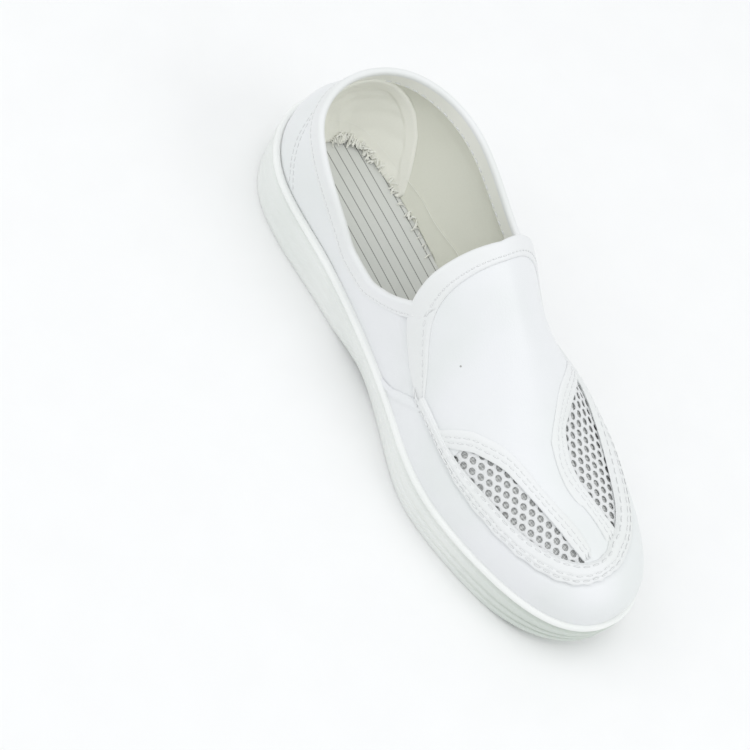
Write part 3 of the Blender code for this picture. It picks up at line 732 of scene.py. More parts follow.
@dataclass(frozen=True)
class StripedBoard:
    """Pale grey insole cloth with thin dark conductive threads along it."""

    ground: tuple[float, float, float] = (0.690, 0.700, 0.675)
    thread: tuple[float, float, float] = (0.165, 0.170, 0.160)
    pitch: float = 0.0050
    start: float = 0.502
    width: float = 0.00040
    tick: float = 0.0011

    def material(self, name: str) -> bpy.types.Material:
        """Make the material.

        Args:
            name: The material's name.

        Returns:
            The material.
        """
        tree = Tree(name)
        at = tree.place()
        x, y = tree.parts(at)
        wander = (tree.noise(at, 14.0) - 0.5) * 0.0012
        phase = tree.wave("PINGPONG", x + wander + self.start, self.pitch / 2)
        line = 1.0 - tree.ramp(phase, self.width * 0.35, self.width * 0.75)
        ticks = tree.wave("SINE", y * (2 * math.pi / self.tick))
        fibre = tree.noise(at, 700.0, 3.0, 0.7)
        ground = tree.blend(fibre, tuple(c * 0.93 for c in self.ground), self.ground)
        dark = line * (ticks * 0.18 + 0.82)
        tree.set(Base_Color=tree.blend(dark, ground, self.thread), Roughness=0.86,
                 Normal=tree.bump(fibre - line * 0.6, 0.00012), Sheen_Weight=0.2)
        return tree.material


@dataclass(frozen=True)
class Plain:
    """Sewing thread, the painted shadow round stitches, or floor: one tone with a fine unevenness."""

    colour: tuple[float, float, float]
    roughness: float
    grain: float = 1200.0
    depth: float = 0.00005

    def material(self, name: str) -> bpy.types.Material:
        """Make the material.

        Args:
            name: The material's name.

        Returns:
            The material.
        """
        tree = Tree(name)
        fleck = tree.noise(tree.place(), self.grain, 2.0)
        tree.set(Base_Color=tree.blend(fleck, tuple(c * 0.97 for c in self.colour), self.colour),
                 Roughness=self.roughness, Normal=tree.bump(fleck, self.depth))
        return tree.material


# Mesh tools


@dataclass
class Workshop:
    """Makes meshes, dresses them and fixes them to the frame."""

    finishes: dict[str, bpy.types.Material] = field(default_factory=dict)

    def finish(self, piece: bpy.types.Object, *names: str) -> bpy.types.Object:
        """Give a piece its materials.

        Args:
            piece: The piece.
            names: Names of its materials.

        Returns:
            The same piece.
        """
        for name in names:
            piece.data.materials.append(self.finishes[name])
        return piece

    def piece(self, name: str, form: bmesh.types.BMesh, finish: str, slot: str,
              replaces: Sequence[str] = ()) -> bpy.types.Object:
        """Turn a bmesh into a piece on the frame.

        Args:
            name: The piece's name.
            form: Its mesh, which is used up.
            finish: Name of its material.
            slot: The record's material slot; not used.
            replaces: CAD nodes that it stands for.

        Returns:
            The new object.
        """
        mesh = bpy.data.meshes.new(name)
        form.to_mesh(mesh)
        form.free()
        mesh.shade_smooth()
        mesh.set_sharp_from_angle(angle=math.radians(50))
        obj = bpy.data.objects.new(name, mesh)
        bpy.context.scene.collection.objects.link(obj)
        self.finish(obj, finish)
        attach(obj, BODY)
        if replaces:
            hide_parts(*replaces)
        LOG.info("%s: %d faces", name, len(mesh.polygons))
        return obj

    def stitches(self, name: str, thread: bmesh.types.BMesh) -> None:
        """Turn sewn threads and their painted shadow blobs into a piece."""
        self.finish(self.piece(name, thread, "thread", "trim_leather"), "stitch_shadow")

    def panel(self, name: str, cells: tuple[int, int], place: Place, look: tuple[str, str], wall: float,
              replaces: Sequence[str] = (), scale: tuple[float, float] = (1.0, 1.0), round_edge: float = 0.0,
              merge: float = 0.0) -> bpy.types.Object:
        """Turn a bent sheet into a piece with a wall.

        Args:
            name: The piece's name.
            cells: Cells along and across.
            place: Surface point for shares along and across.
            look: Name of its material, and the record's material slot.
            wall: Thickness inward from the sheet.
            replaces: CAD nodes that it stands for.
            scale: Length and width in metres that the UV map spans.
            round_edge: Radius of its rounded edges.
            merge: Distance within which its points become one.

        Returns:
            The new object.
        """
        form = self.face_away(self.sheet(*cells, place, scale, merge), INSIDE)
        return self.thicken(self.piece(name, form, *look, replaces), wall, round_edge)

    @staticmethod
    def sheet(columns: int, rows: int, place: Place, scale: tuple[float, float] = (1.0, 1.0),
              merge: float = 0.0) -> bmesh.types.BMesh:
        """Grid bent to a surface, with a flat UV map in metres.

        Args:
            columns: Cells along.
            rows: Cells across.
            place: Surface point for shares along and across.
            scale: Length and width in metres that the UV map spans.
            merge: Distance within which its points become one.

        Returns:
            The sheet as a bmesh.
        """
        form = bmesh.new()
        bmesh.ops.create_grid(form, x_segments=columns, y_segments=rows, size=0.5)
        shares = np.array([vert.co[:2] for vert in form.verts]) + 0.5
        flat = form.loops.layers.uv.new("flat")
        for face in form.faces:
            for loop in face.loops:
                loop[flat].uv = ((loop.vert.co.x + 0.5) * scale[0], (loop.vert.co.y + 0.5) * scale[1])
        for vert, point in zip(form.verts, place(shares[:, 0], shares[:, 1])):
            vert.co = Vector(point)
        if merge > 0.0:
            bmesh.ops.remove_doubles(form, verts=form.verts, dist=merge)
        return form

    @staticmethod
    def face_away(form: bmesh.types.BMesh, inner: np.ndarray, until: float = 1.0) -> bmesh.types.BMesh:
        """Turn a sheet so that its faces look away from a point inside the shoe.

        Args:
            form: The sheet.
            inner: Point that its outer side looks away from.
            until: Only faces below this V of the flat UV map are asked, where a sheet folds back.

        Returns:
            The same sheet.
        """
        middle = Vector(inner)
        form.normal_update()
        flat = form.loops.layers.uv["flat"]
        score = sum((face.calc_center_median() - middle).dot(face.normal) * face.calc_area()
                    for face in form.faces if face.loops[0][flat].uv.y < until)
        if score < 0:
            bmesh.ops.reverse_faces(form, faces=form.faces)
        return form

    @staticmethod
    def thicken(obj: bpy.types.Object, thickness: float, round_edge: float = 0.0) -> bpy.types.Object:
        """Give a sheet a wall inward from its face.

        Args:
            obj: The sheet's object.
            thickness: The wall.
            round_edge: Radius of its rounded edges, 0 for sharp ones.

        Returns:
            The same object.
        """
        wall = obj.modifiers.new("wall", "SOLIDIFY")
        wall.thickness, wall.offset = thickness, -1.0
        wall.use_even_offset = False
        if round_edge > 0.0:
            soft = obj.modifiers.new("edge", "BEVEL")
            soft.width, soft.segments, soft.limit_method = round_edge, 3, "ANGLE"
            soft.angle_limit, soft.harden_normals = math.radians(50), False
        return obj


def sew(form: bmesh.types.BMesh, line: Line, lift: float, samples: int, pitch: float,
        width: float = 0.00058, fill: float = 0.62, dents: bool = True, facing: float = 1.0) -> None:
    """Lay a row of stitches along a line on the upper, each over a flat grey blob that paints the shadow of
    its dent and needle holes.

    Args:
        form: Mesh that takes the stitches; the painted shadow blobs use its second material.
        line: Angle in degrees and rise over the share of the way.
        lift: Height over the leather.
        samples: How many points the line is read at.
        pitch: Length of one stitch with its gap.
        width: Thread width.
        fill: Share of the pitch that shows thread.
        dents: Whether the painted shadow blobs are made.
        facing: 1 for a row that is seen from outside, -1 from inside.
    """
    degrees, rise = line(np.linspace(0.0, 1.0, samples))
    points = LAST.skin(degrees, rise, lift)
    outs = facing * unit(LAST.skin(degrees, rise, lift + 0.001) - points)
    steps = np.linalg.norm(np.diff(points, axis=0), axis=1)
    run = np.concatenate([[0.0], np.cumsum(steps)])
    count = max(1, int(run[-1] / pitch))
    for i in range(count):
        ends = (run[-1] / count) * np.array([i + 0.5 - fill / 2, i + 0.5, i + 0.5 + fill / 2])
        at = [Vector([np.interp(s, run, points[:, k]) for k in range(3)]) for s in ends]
        out = Vector([np.interp(ends[1], run, outs[:, k]) for k in range(3)]).normalized()
        along = (at[2] - at[0]).normalized()
        side = out.cross(along).normalized()
        out = along.cross(side)
        turn = Matrix((along, side, out)).transposed().to_4x4()
        half = (at[2] - at[0]).length / 2
        size = Matrix.Diagonal((half, width / 2, width * 0.46, 1.0))
        bmesh.ops.create_uvsphere(form, u_segments=6, v_segments=6, radius=1.0,
                                  matrix=Matrix.Translation(at[1]) @ turn @ size)
        # Painted shadow: a flattened grey blob under each stitch darkens its dent and needle holes
        if dents:
            low = Matrix.Translation(at[1] - out * width * 0.16) @ turn
            dent = Matrix.Diagonal((half + width * 0.38, width * 0.64, width * 0.32, 1.0))
            made = bmesh.ops.create_uvsphere(form, u_segments=8, v_segments=4, radius=1.0, matrix=low @ dent)
            for face in {face for vert in made["verts"] for face in vert.link_faces}:
                face.material_index = 1


@dataclass
class Upper:
    """Vamp, quarters, toe guard, strips and bindings of the white leather."""

    shop: Workshop
    vamp_wall: float = 0.0013
    strip_lift: float = 0.0014
    guard_lift: float = 0.0008
    binding_lift: float = 0.0009
    binding_width: float = 0.0090
    stitch_lift: float = 0.00082

    def build(self) -> None:
        """Make every leather piece."""
        self.make_vamp()
        self.make_quarter()
        self.make_guard()
        self.make_apron()
        self.make_window_strip("window_strip_outer", STRIP_OUTER)
        self.make_window_strip("window_strip_inner", STRIP_INNER)
        self.make_tab_binding()
        self.make_collar_binding()
        self.make_side_stitches()

    def make_vamp(self) -> None:
        """Broad tongue-like panel over the instep, cut out at the two windows."""
        half = np.linspace(-1.0, 1.0, 401)
        corner_angle, corner_rise, hem, tuck = 82.5, 0.262, 0.004, 0.06
        bottom_angle = half * corner_angle
        for _ in range(30):
            top = window_top(bottom_angle)
            open_side = top - APRON_HIGH(bottom_angle) > hem
            bottom = np.clip(top - np.where(open_side, hem, tuck), corner_rise, 1.0)
            bottom_angle = half * TAB_EDGE_ANGLE(bottom)

        def place(u: np.ndarray, v: np.ndarray) -> np.ndarray:
            """Point of the vamp.

            Args:
                u: Share along.
                v: Share across.

            Returns:
                Points of its outside.
            """
            low = np.interp(2 * u - 1, half, bottom)
            rise = low + (1.0 - low) * v ** 1.1
            return LAST.skin((2 * u - 1) * TAB_EDGE_ANGLE(rise), rise)

        self.shop.panel("vamp", (300, 44), place, ("vamp_leather", "upper_leather"), self.vamp_wall,
                        ["upper_shell"], merge=MERGE)

    def make_quarter(self) -> None:
        """Rear wall from under one side of the vamp, round the heel, to the other."""
        start = 78.0
        columns = np.linspace(0.0, 1.0, 281)
        top = LAST.collar_rise(wrapped(start + (360.0 - 2 * start) * columns), 0.0002)

        def place(u: np.ndarray, v: np.ndarray) -> np.ndarray:
            """Point of the quarter, sunk where the vamp lies over it.

            Args:
                u: Share along.
                v: Share across.

            Returns:
                Points of its outside.
            """
            degrees = wrapped(start + (360.0 - 2 * start) * u)
            rise = 0.004 + (np.interp(u, columns, top) - 0.004) * v
            cover = TAB_EDGE_ANGLE(np.clip(rise, 0.275, 1.0))
            behind = ease((np.abs(degrees) - cover + 1.0) / 7.0)
            under_vamp = ease((rise - 0.22) / 0.05)
            return LAST.skin(degrees, rise, -(self.vamp_wall + 0.0004) * (1 - behind) * under_vamp)

        self.shop.panel("quarter", (280, 40), place, ("leather", "upper_leather"), 0.0012, ["upper_shell"])

    def make_side_stitches(self) -> None:
        """Double rows at the heel, the row along the guard's rear edge and its thick corner tack."""
        thread = bmesh.new()
        share = np.linspace(0.0, 1.0, len(HEEL_ROWS))
        angle, rise = (even_curve(share, [row[k] for row in HEEL_ROWS]) for k in (0, 1))
        rear = column_curve(GUARD_REAR, 0, 1)
        for side in (-1.0, 1.0):
            for apart in (0.0, 2.6):
                sew(thread, lambda s: (side * (angle(s) - apart), rise(s)), 0.0001, 160, 0.0031)
            sew(thread, lambda s: (side * (rear(0.02 + 0.25 * s) - 2.3), between(0.02, 0.27, s)),
                self.guard_lift + 0.0001, 120, 0.0030)
            for i in range(9):
                low = side * (81.2 + 0.30 * i), 0.256 + 0.006 * (i % 2)
                high = side * (82.2 + 0.30 * i), 0.280 + 0.003 * (i % 3)
                sew(thread, lambda s: (between(low[0], high[0], s), between(low[1], high[1], s)), 0.0014, 8,
                    0.0030, 0.0006, 0.95, False)
        self.shop.stitches("side_stitches", thread)

    def make_guard(self) -> None:
        """Toe guard from the sole's rim to the apron seam, with a folded rear edge."""
        rear_curve = column_curve(GUARD_REAR, 0, 1)

        def place(u: np.ndarray, v: np.ndarray) -> np.ndarray:
            """Point of the guard, raised along its folded rear edge.

            Args:
                u: Share along.
                v: Share across.

            Returns:
                Points of its outside.
            """
            side = 2 * u - 1
            low, tuck, fold_reach = 0.004, 0.03, 2.4
            top = APRON_LOW(side * 81.5) + tuck
            rear = rear_curve(np.clip(low + (top - low) * v, 0.0, 0.275))
            degrees = side * rear
            seam = APRON_LOW(np.clip(degrees, -82, 82))
            rise = low + (seam + tuck - low) * v
            near = 1 - np.clip((1 - np.abs(side)) * rear / fold_reach, 0.0, 1.0)
            fold = 0.0009 * np.sin(math.pi * near) - 0.0004 * near ** 6
            pull = 0.0006 * np.exp(-((rise - seam) / 0.022) ** 2)
            return LAST.skin(degrees, rise, self.guard_lift + fold - pull)

        self.shop.panel("toe_guard_skin", (300, 24), place, ("leather", "upper_leather"), 0.0008,
                        ["toe_guard"], round_edge=EDGE_ROUND)

    def make_apron(self) -> None:
        """Raised strip over the guard's top edge, with its three rows of stitches."""
        start, end = APRON[0][0], APRON[-1][0]
        rows = (0.20, 0.42, 0.84)

        def place(u: np.ndarray, v: np.ndarray) -> np.ndarray:
            """Point of the strip, dented along its stitches.

            Args:
                u: Share along.
                v: Share across.

            Returns:
                Points of its outside.
            """
            degrees = start + (end - start) * u
            low, high = APRON_LOW(degrees), APRON_HIGH(degrees)
            waver = 0.006 * np.sin(degrees * 0.9) * np.exp(-((degrees + 30) / 40) ** 2) * (1 - v)
            rise = low + waver + (high - low) * v
            crown = np.sin(math.pi * np.clip(v, 0, 1)) ** 0.5
            dents = sum(np.exp(-((v - row) / 0.05) ** 2) for row in rows)
            lift = self.guard_lift + self.strip_lift * (0.68 + 0.32 * crown) - 0.00026 * dents
            return LAST.skin(degrees, rise, lift * (1 - 0.85 * ease((v - 0.88) / 0.12)))

        def seam(share: np.ndarray, row: float) -> tuple[np.ndarray, np.ndarray]:
            """Line of one row of stitches.

            Args:
                share: Share along.
                row: Share across.

            Returns:
                Angles and rises.
            """
            degrees = start + (end - start) * share
            rise = APRON_LOW(degrees) * (1 - row) + APRON_HIGH(degrees) * row
            return between(start + 1.5, end - 1.5, share), rise

        self.shop.panel("apron_strip_skin", (360, 28), place, ("trim", "trim_leather"), 0.0012,
                        ["apron_strip"], round_edge=EDGE_ROUND)
        thread = bmesh.new()
        for row in rows:
            sew(thread, lambda s: seam(s, row), self.guard_lift + self.strip_lift * 0.93, 500, 0.0045)
        self.shop.stitches("apron_stitches", thread)

    def make_window_strip(self, name: str, table: Table) -> None:
        """Strip sewn along a window's upper edge with two rows of stitches.

        Args:
            name: The piece's name.
            table: Its vamp-side line and the angle of its window side.
        """
        share = np.linspace(0.0, 1.0, len(table))
        out_angle, out_rise, in_angle = (even_curve(share, [row[k] for row in table]) for k in range(3))
        rows = (0.34, 0.62)

        def line(u: np.ndarray, v: np.ndarray) -> tuple[np.ndarray, np.ndarray]:
            """Place in the strip.

            Args:
                u: Share along.
                v: Share across.

            Returns:
                Angles and rises.
            """
            inner = in_angle(u)
            low = window_top(inner) - 0.006
            return inner + (out_angle(u) - inner) * v, low + (out_rise(u) - low) * v

        def place(u: np.ndarray, v: np.ndarray) -> np.ndarray:
            """Point of the strip, dented along its stitches.

            Args:
                u: Share along.
                v: Share across.

            Returns:
                Points of its outside.
            """
            degrees, rise = line(u, v)
            crown = np.sin(math.pi * np.clip(v, 0, 1)) ** 0.5
            dents = sum(np.exp(-((v - row) / 0.06) ** 2) for row in rows)
            ends = ease(u / 0.07) * ease((1 - u) / 0.07)
            edge = 0.30 + 0.25 * (1 - v)
            lift = 0.0009 * (edge + (1 - edge) * crown) - 0.00016 * dents
            return LAST.skin(degrees, rise, lift * ends - 0.0008 * (1 - ends))

        self.shop.panel(name, (220, 18), place, ("trim", "trim_leather"), 0.0016, round_edge=EDGE_ROUND)
        thread = bmesh.new()
        for row in rows:
            sew(thread, lambda s: line(0.02 + 0.96 * s, row), self.stitch_lift, 300, 0.0040)
        self.shop.stitches(name + "_stitches", thread)

    def folded_edge(self, name: str, edge: Place, columns: int, reach: float, node: str,
                    closed_wall: float) -> None:
        """Leather folded over an edge: a band outside, a round turn and a band inside.

        Args:
            name: The piece's name.
            edge: Angle and rise over the share along and the share in from the edge.
            columns: Cells along.
            reach: Length of the edge, for the UV map.
            node: CAD node that it stands for.
            closed_wall: Thickness of what it wraps.
        """
        roll = closed_wall / 2 + self.binding_lift
        round_start, round_end, width = 0.40, 0.62, 0.025

        def place(u: np.ndarray, v: np.ndarray) -> np.ndarray:
            """Point of the fold, from its outer band over the edge to its inner one.

            Args:
                u: Share along.
                v: Share across.

            Returns:
                Points of its outside.
            """
            outside = np.clip((round_start - v) / round_start, 0.0, 1.0)
            inside = np.clip((v - round_end) / (1 - round_end), 0.0, 1.0)
            degrees, rise = edge(u, np.where(v < 0.5, outside, inside * 0.9))
            groove = 0.00020 * np.exp(-((outside - 0.70) / 0.06) ** 2)
            step = (1 - np.clip((outside - 0.80) / 0.20, 0.0, 1.0) ** 2) ** 0.7
            lift = np.where(v < 0.5, self.binding_lift * step - groove, -closed_wall - self.binding_lift)
            flat = LAST.skin(degrees, rise, lift)
            at, deeper = edge(u, np.zeros_like(u)), edge(u, np.full_like(u, 0.12))
            rim = LAST.skin(*at, -closed_wall / 2)
            out = unit(LAST.skin(*at, 0.001) - LAST.skin(*at, 0.0))
            up = rim - LAST.skin(*deeper, -closed_wall / 2)
            up = unit(up - out * np.sum(up * out, -1, keepdims=True))
            turn = np.clip((v - round_start) / 0.22, 0.0, 1.0)[..., None] * math.pi
            curl = rim + roll * (np.cos(turn) * out + np.sin(turn) * up)
            return np.where(((v > round_start) & (v < round_end))[..., None], curl, flat)

        form = self.shop.face_away(self.shop.sheet(columns, 50, place, (reach, width)), INSIDE, 0.008)
        flat = form.loops.layers.uv["flat"]
        for face in form.faces:
            if min(loop[flat].uv.y for loop in face.loops) > round_end * width:
                face.material_index = 1
        band = self.shop.finish(self.shop.piece(name, form, "trim", "trim_leather", [node]), "inner_band")
        self.shop.thicken(band, 0.0004)

    def tab_line(self, u: np.ndarray, inward: np.ndarray | float) -> tuple[np.ndarray, np.ndarray]:
        """Line in the tab's binding, from the outer side to the inner.

        Args:
            u: Share along.
            inward: Share in from the free edge.

        Returns:
            Angles and rises.
        """
        share = np.linspace(0.0, 1.0, len(TAB))
        along = 1 - np.abs(2 * u - 1)
        edge_angle, edge_rise, in_angle, in_rise = (
            even_curve(share, [row[k] for row in TAB])(along) for k in range(4))
        sign = np.where(u < 0.5, -1.0, 1.0)
        return sign * between(edge_angle, in_angle, inward), between(edge_rise, in_rise, inward)

    def make_tab_binding(self) -> None:
        """Folded edge of the instep tab and its stitches."""
        self.folded_edge("tab_edge", self.tab_line, 240, 0.16, "tab_binding", self.vamp_wall)
        thread = bmesh.new()
        for low, high, pitch in ((0.02, 0.30, 0.0044), (0.30, 0.70, 0.0025), (0.70, 0.98, 0.0044)):
            sew(thread, lambda s: self.tab_line(between(low, high, s), 0.68), self.stitch_lift, 240, pitch)
        self.shop.stitches("tab_stitches", thread)

    def collar_line(self, u: np.ndarray, inward: np.ndarray | float) -> tuple[np.ndarray, np.ndarray]:
        """Line in the collar's binding, round the heel.

        Args:
            u: Share along.
            inward: Share in from the free edge.

        Returns:
            Angles and rises.
        """
        start = 93.0
        degrees = wrapped(start + (360.0 - 2 * start) * u)
        below = self.binding_width * np.broadcast_to(inward, np.shape(degrees))
        return degrees, LAST.collar_rise(degrees, below)

    def make_collar_binding(self) -> None:
        """Folded edge of the collar and its stitches."""
        self.folded_edge("collar_edge", self.collar_line, 260, 0.25, "collar_binding", 0.0017)
        thread = bmesh.new()
        sew(thread, lambda s: self.collar_line(s, 0.70), self.stitch_lift, 420, 0.0030)
        sew(thread, lambda s: self.collar_line(s, 0.78), -0.0027, 420, 0.0042, facing=-1.0)
        self.shop.stitches("collar_stitches", thread)


@dataclass
class Windows:
    """The two knitted inserts with their open holes, and the grey layer behind them, whose grey is painted
    shade.
    """

    shop: Workshop
    pitch: float = 0.0044
    hole_long: float = 0.00325
    hole_wide: float = 0.00265
    depth: float = 0.0006
    thickness: float = 0.0007

    def build(self) -> None:
        """Make both windows."""
        self.make_window("outer", OUTER_SPAN, WINDOW_OUTER)
        self.make_window("inner", INNER_SPAN, WINDOW_INNER)

    def cell(self) -> bmesh.types.BMesh:
        """Draw one six-sided cell of the knit with an oval hole.

        Returns:
            The cell as a bmesh.
        """
        form = bmesh.new()
        bmesh.ops.create_circle(form, segments=12, radius=0.5)
        rim = form.verts[:]
        for vert in rim:
            turn = math.atan2(vert.co.y, vert.co.x)
            corner = (turn + math.pi / 6) % (math.pi / 3) - math.pi / 6
            reach = self.pitch / 2 / math.cos(corner)
            vert.co = Vector((math.cos(turn), math.sin(turn), 0.0)) * reach
        made = bmesh.ops.create_circle(form, segments=12, radius=0.5)
        bmesh.ops.scale(form, verts=made["verts"], vec=(self.hole_wide, self.hole_long, 1.0))
        bmesh.ops.bridge_loops(form, edges=form.edges[:])
        return form

    def make_window(self, side: str, span: tuple[float, float], rows: Table) -> None:
        """Make the knit and backing of one window.

        Args:
            side: Which side it is on.
            span: Angle of its rear end and of its front end.
            rows: Its width over the share along.
        """
        start, end = span
        middle = (start + end) / 2
        width = column_curve(rows)

        def place(u: np.ndarray, v: np.ndarray, lift: float) -> np.ndarray:
            """Point of the backing.

            Args:
                u: Share along.
                v: Share across.
                lift: Distance outward from the leather.

            Returns:
                Points of its outside.
            """
            reach = 3.0 * math.copysign(1.0, end - start)
            degrees = (start - reach) + (end - start + 2 * reach) * u
            share = np.clip((degrees - start) / (end - start), 0.0, 1.0)
            low = APRON_HIGH(degrees) - 0.12
            return LAST.skin(degrees, low + (width(share) + 0.16) * v, lift)

        # The backing lies under the knit; its grey material is painted shade seen through the holes
        below = -self.depth - self.thickness - 0.0006
        self.shop.panel("window_backing_" + side, (90, 30), lambda u, v: place(u, v, below),
                        ("window_backing", "mesh_cloth"), 0.0005, scale=(0.075, 0.030))

        centre = np.array([middle]), APRON_HIGH(np.array([middle])) + 0.10
        origin = LAST.skin(*centre)[0]
        out = unit(LAST.skin(*centre, 0.001)[0] - origin)
        across = unit(np.array([1.0, 0.0, 0.0]) - out * out[0])
        along = np.cross(out, across)
        count = int(0.055 / self.pitch)
        cells = [((i + 0.5 * (j % 2)) * self.pitch, j * self.pitch * 0.866)
                 for i in range(-count, count + 1) for j in range(-count, count + 1)]
        flat = np.array(cells)
        degrees, rise = self.find(flat, origin, across, along, middle, centre[1][0])
        share = np.clip((degrees - start) / (end - start), 0.0, 1.0)
        above = rise - APRON_HIGH(degrees)
        keep = (above > -0.13) & (above < width(share) + 0.055)
        overrun = (degrees - start) * (degrees - end)
        keep &= overrun < 60.0
        form = self.cell()
        pattern = form.verts[:] + form.edges[:] + form.faces[:]
        for spot in flat[keep]:
            made = bmesh.ops.duplicate(form, geom=pattern)
            moved = [item for item in made["geom"] if isinstance(item, bmesh.types.BMVert)]
            bmesh.ops.translate(form, verts=moved, vec=(spot[0], spot[1], 0.0))
        bmesh.ops.delete(form, geom=[item for item in pattern if isinstance(item, bmesh.types.BMVert)],
                         context="VERTS")
        bmesh.ops.remove_doubles(form, verts=form.verts, dist=0.00005)
        bmesh.ops.recalc_face_normals(form, faces=form.faces)
        layer = form.loops.layers.uv.new("flat")
        for face in form.faces:
            for loop in face.loops:
                loop[layer].uv = (loop.vert.co.x, loop.vert.co.y)
        spots = np.array([vert.co[:2] for vert in form.verts])
        degrees, rise = self.find(spots, origin, across, along, middle, centre[1][0])
        for vert, point in zip(form.verts, LAST.skin(degrees, rise, -self.depth)):
            vert.co = Vector(point)
        self.shop.face_away(form, INSIDE)
        knit = self.shop.piece("window_knit_" + side, form, "knit", "mesh_cloth", ["mesh_window_" + side])
        self.shop.thicken(knit, self.thickness)
        soft = knit.modifiers.new("soft", "SUBSURF")
        soft.levels = soft.render_levels = 1

    @staticmethod
    def find(flat: np.ndarray, origin: np.ndarray, across: np.ndarray, along: np.ndarray,
             angle: float, rise: float) -> tuple[np.ndarray, np.ndarray]:
        """Find the surface points above places on a flat sheet.

        Args:
            flat: Places on the sheet.
            origin: Where the sheet touches the surface.
            across: The sheet's first direction.
            along: Its second direction.
            angle: Angle that the search starts from.
            rise: Rise that it starts from.

        Returns:
            Angles and rises.
        """
        degrees, rises = np.full(len(flat), angle), np.full(len(flat), rise)

        def seen(a: np.ndarray, r: np.ndarray) -> np.ndarray:
            """Place on the sheet below a surface point.

            Args:
                a: Angles.
                r: Rises.

            Returns:
                Places on the sheet.
            """
            apart = LAST.skin(a, r) - origin
            return np.stack([apart @ across, apart @ along], -1)

        for _ in range(14):
            here = seen(degrees, rises)
            by_angle, by_rise = seen(degrees + 0.2, rises) - here, seen(degrees, rises + 0.002) - here
            miss = flat - here
            size = by_angle[:, 0] * by_rise[:, 1] - by_angle[:, 1] * by_rise[:, 0]
            turn = (miss[:, 0] * by_rise[:, 1] - miss[:, 1] * by_rise[:, 0]) / size
            climb = (by_angle[:, 0] * miss[:, 1] - by_angle[:, 1] * miss[:, 0]) / size
            degrees = degrees + np.clip(turn * 0.2, -6.0, 6.0)
            rises = np.clip(rises + np.clip(climb * 0.002, -0.06, 0.06), 0.06, 0.97)
        return degrees, rises


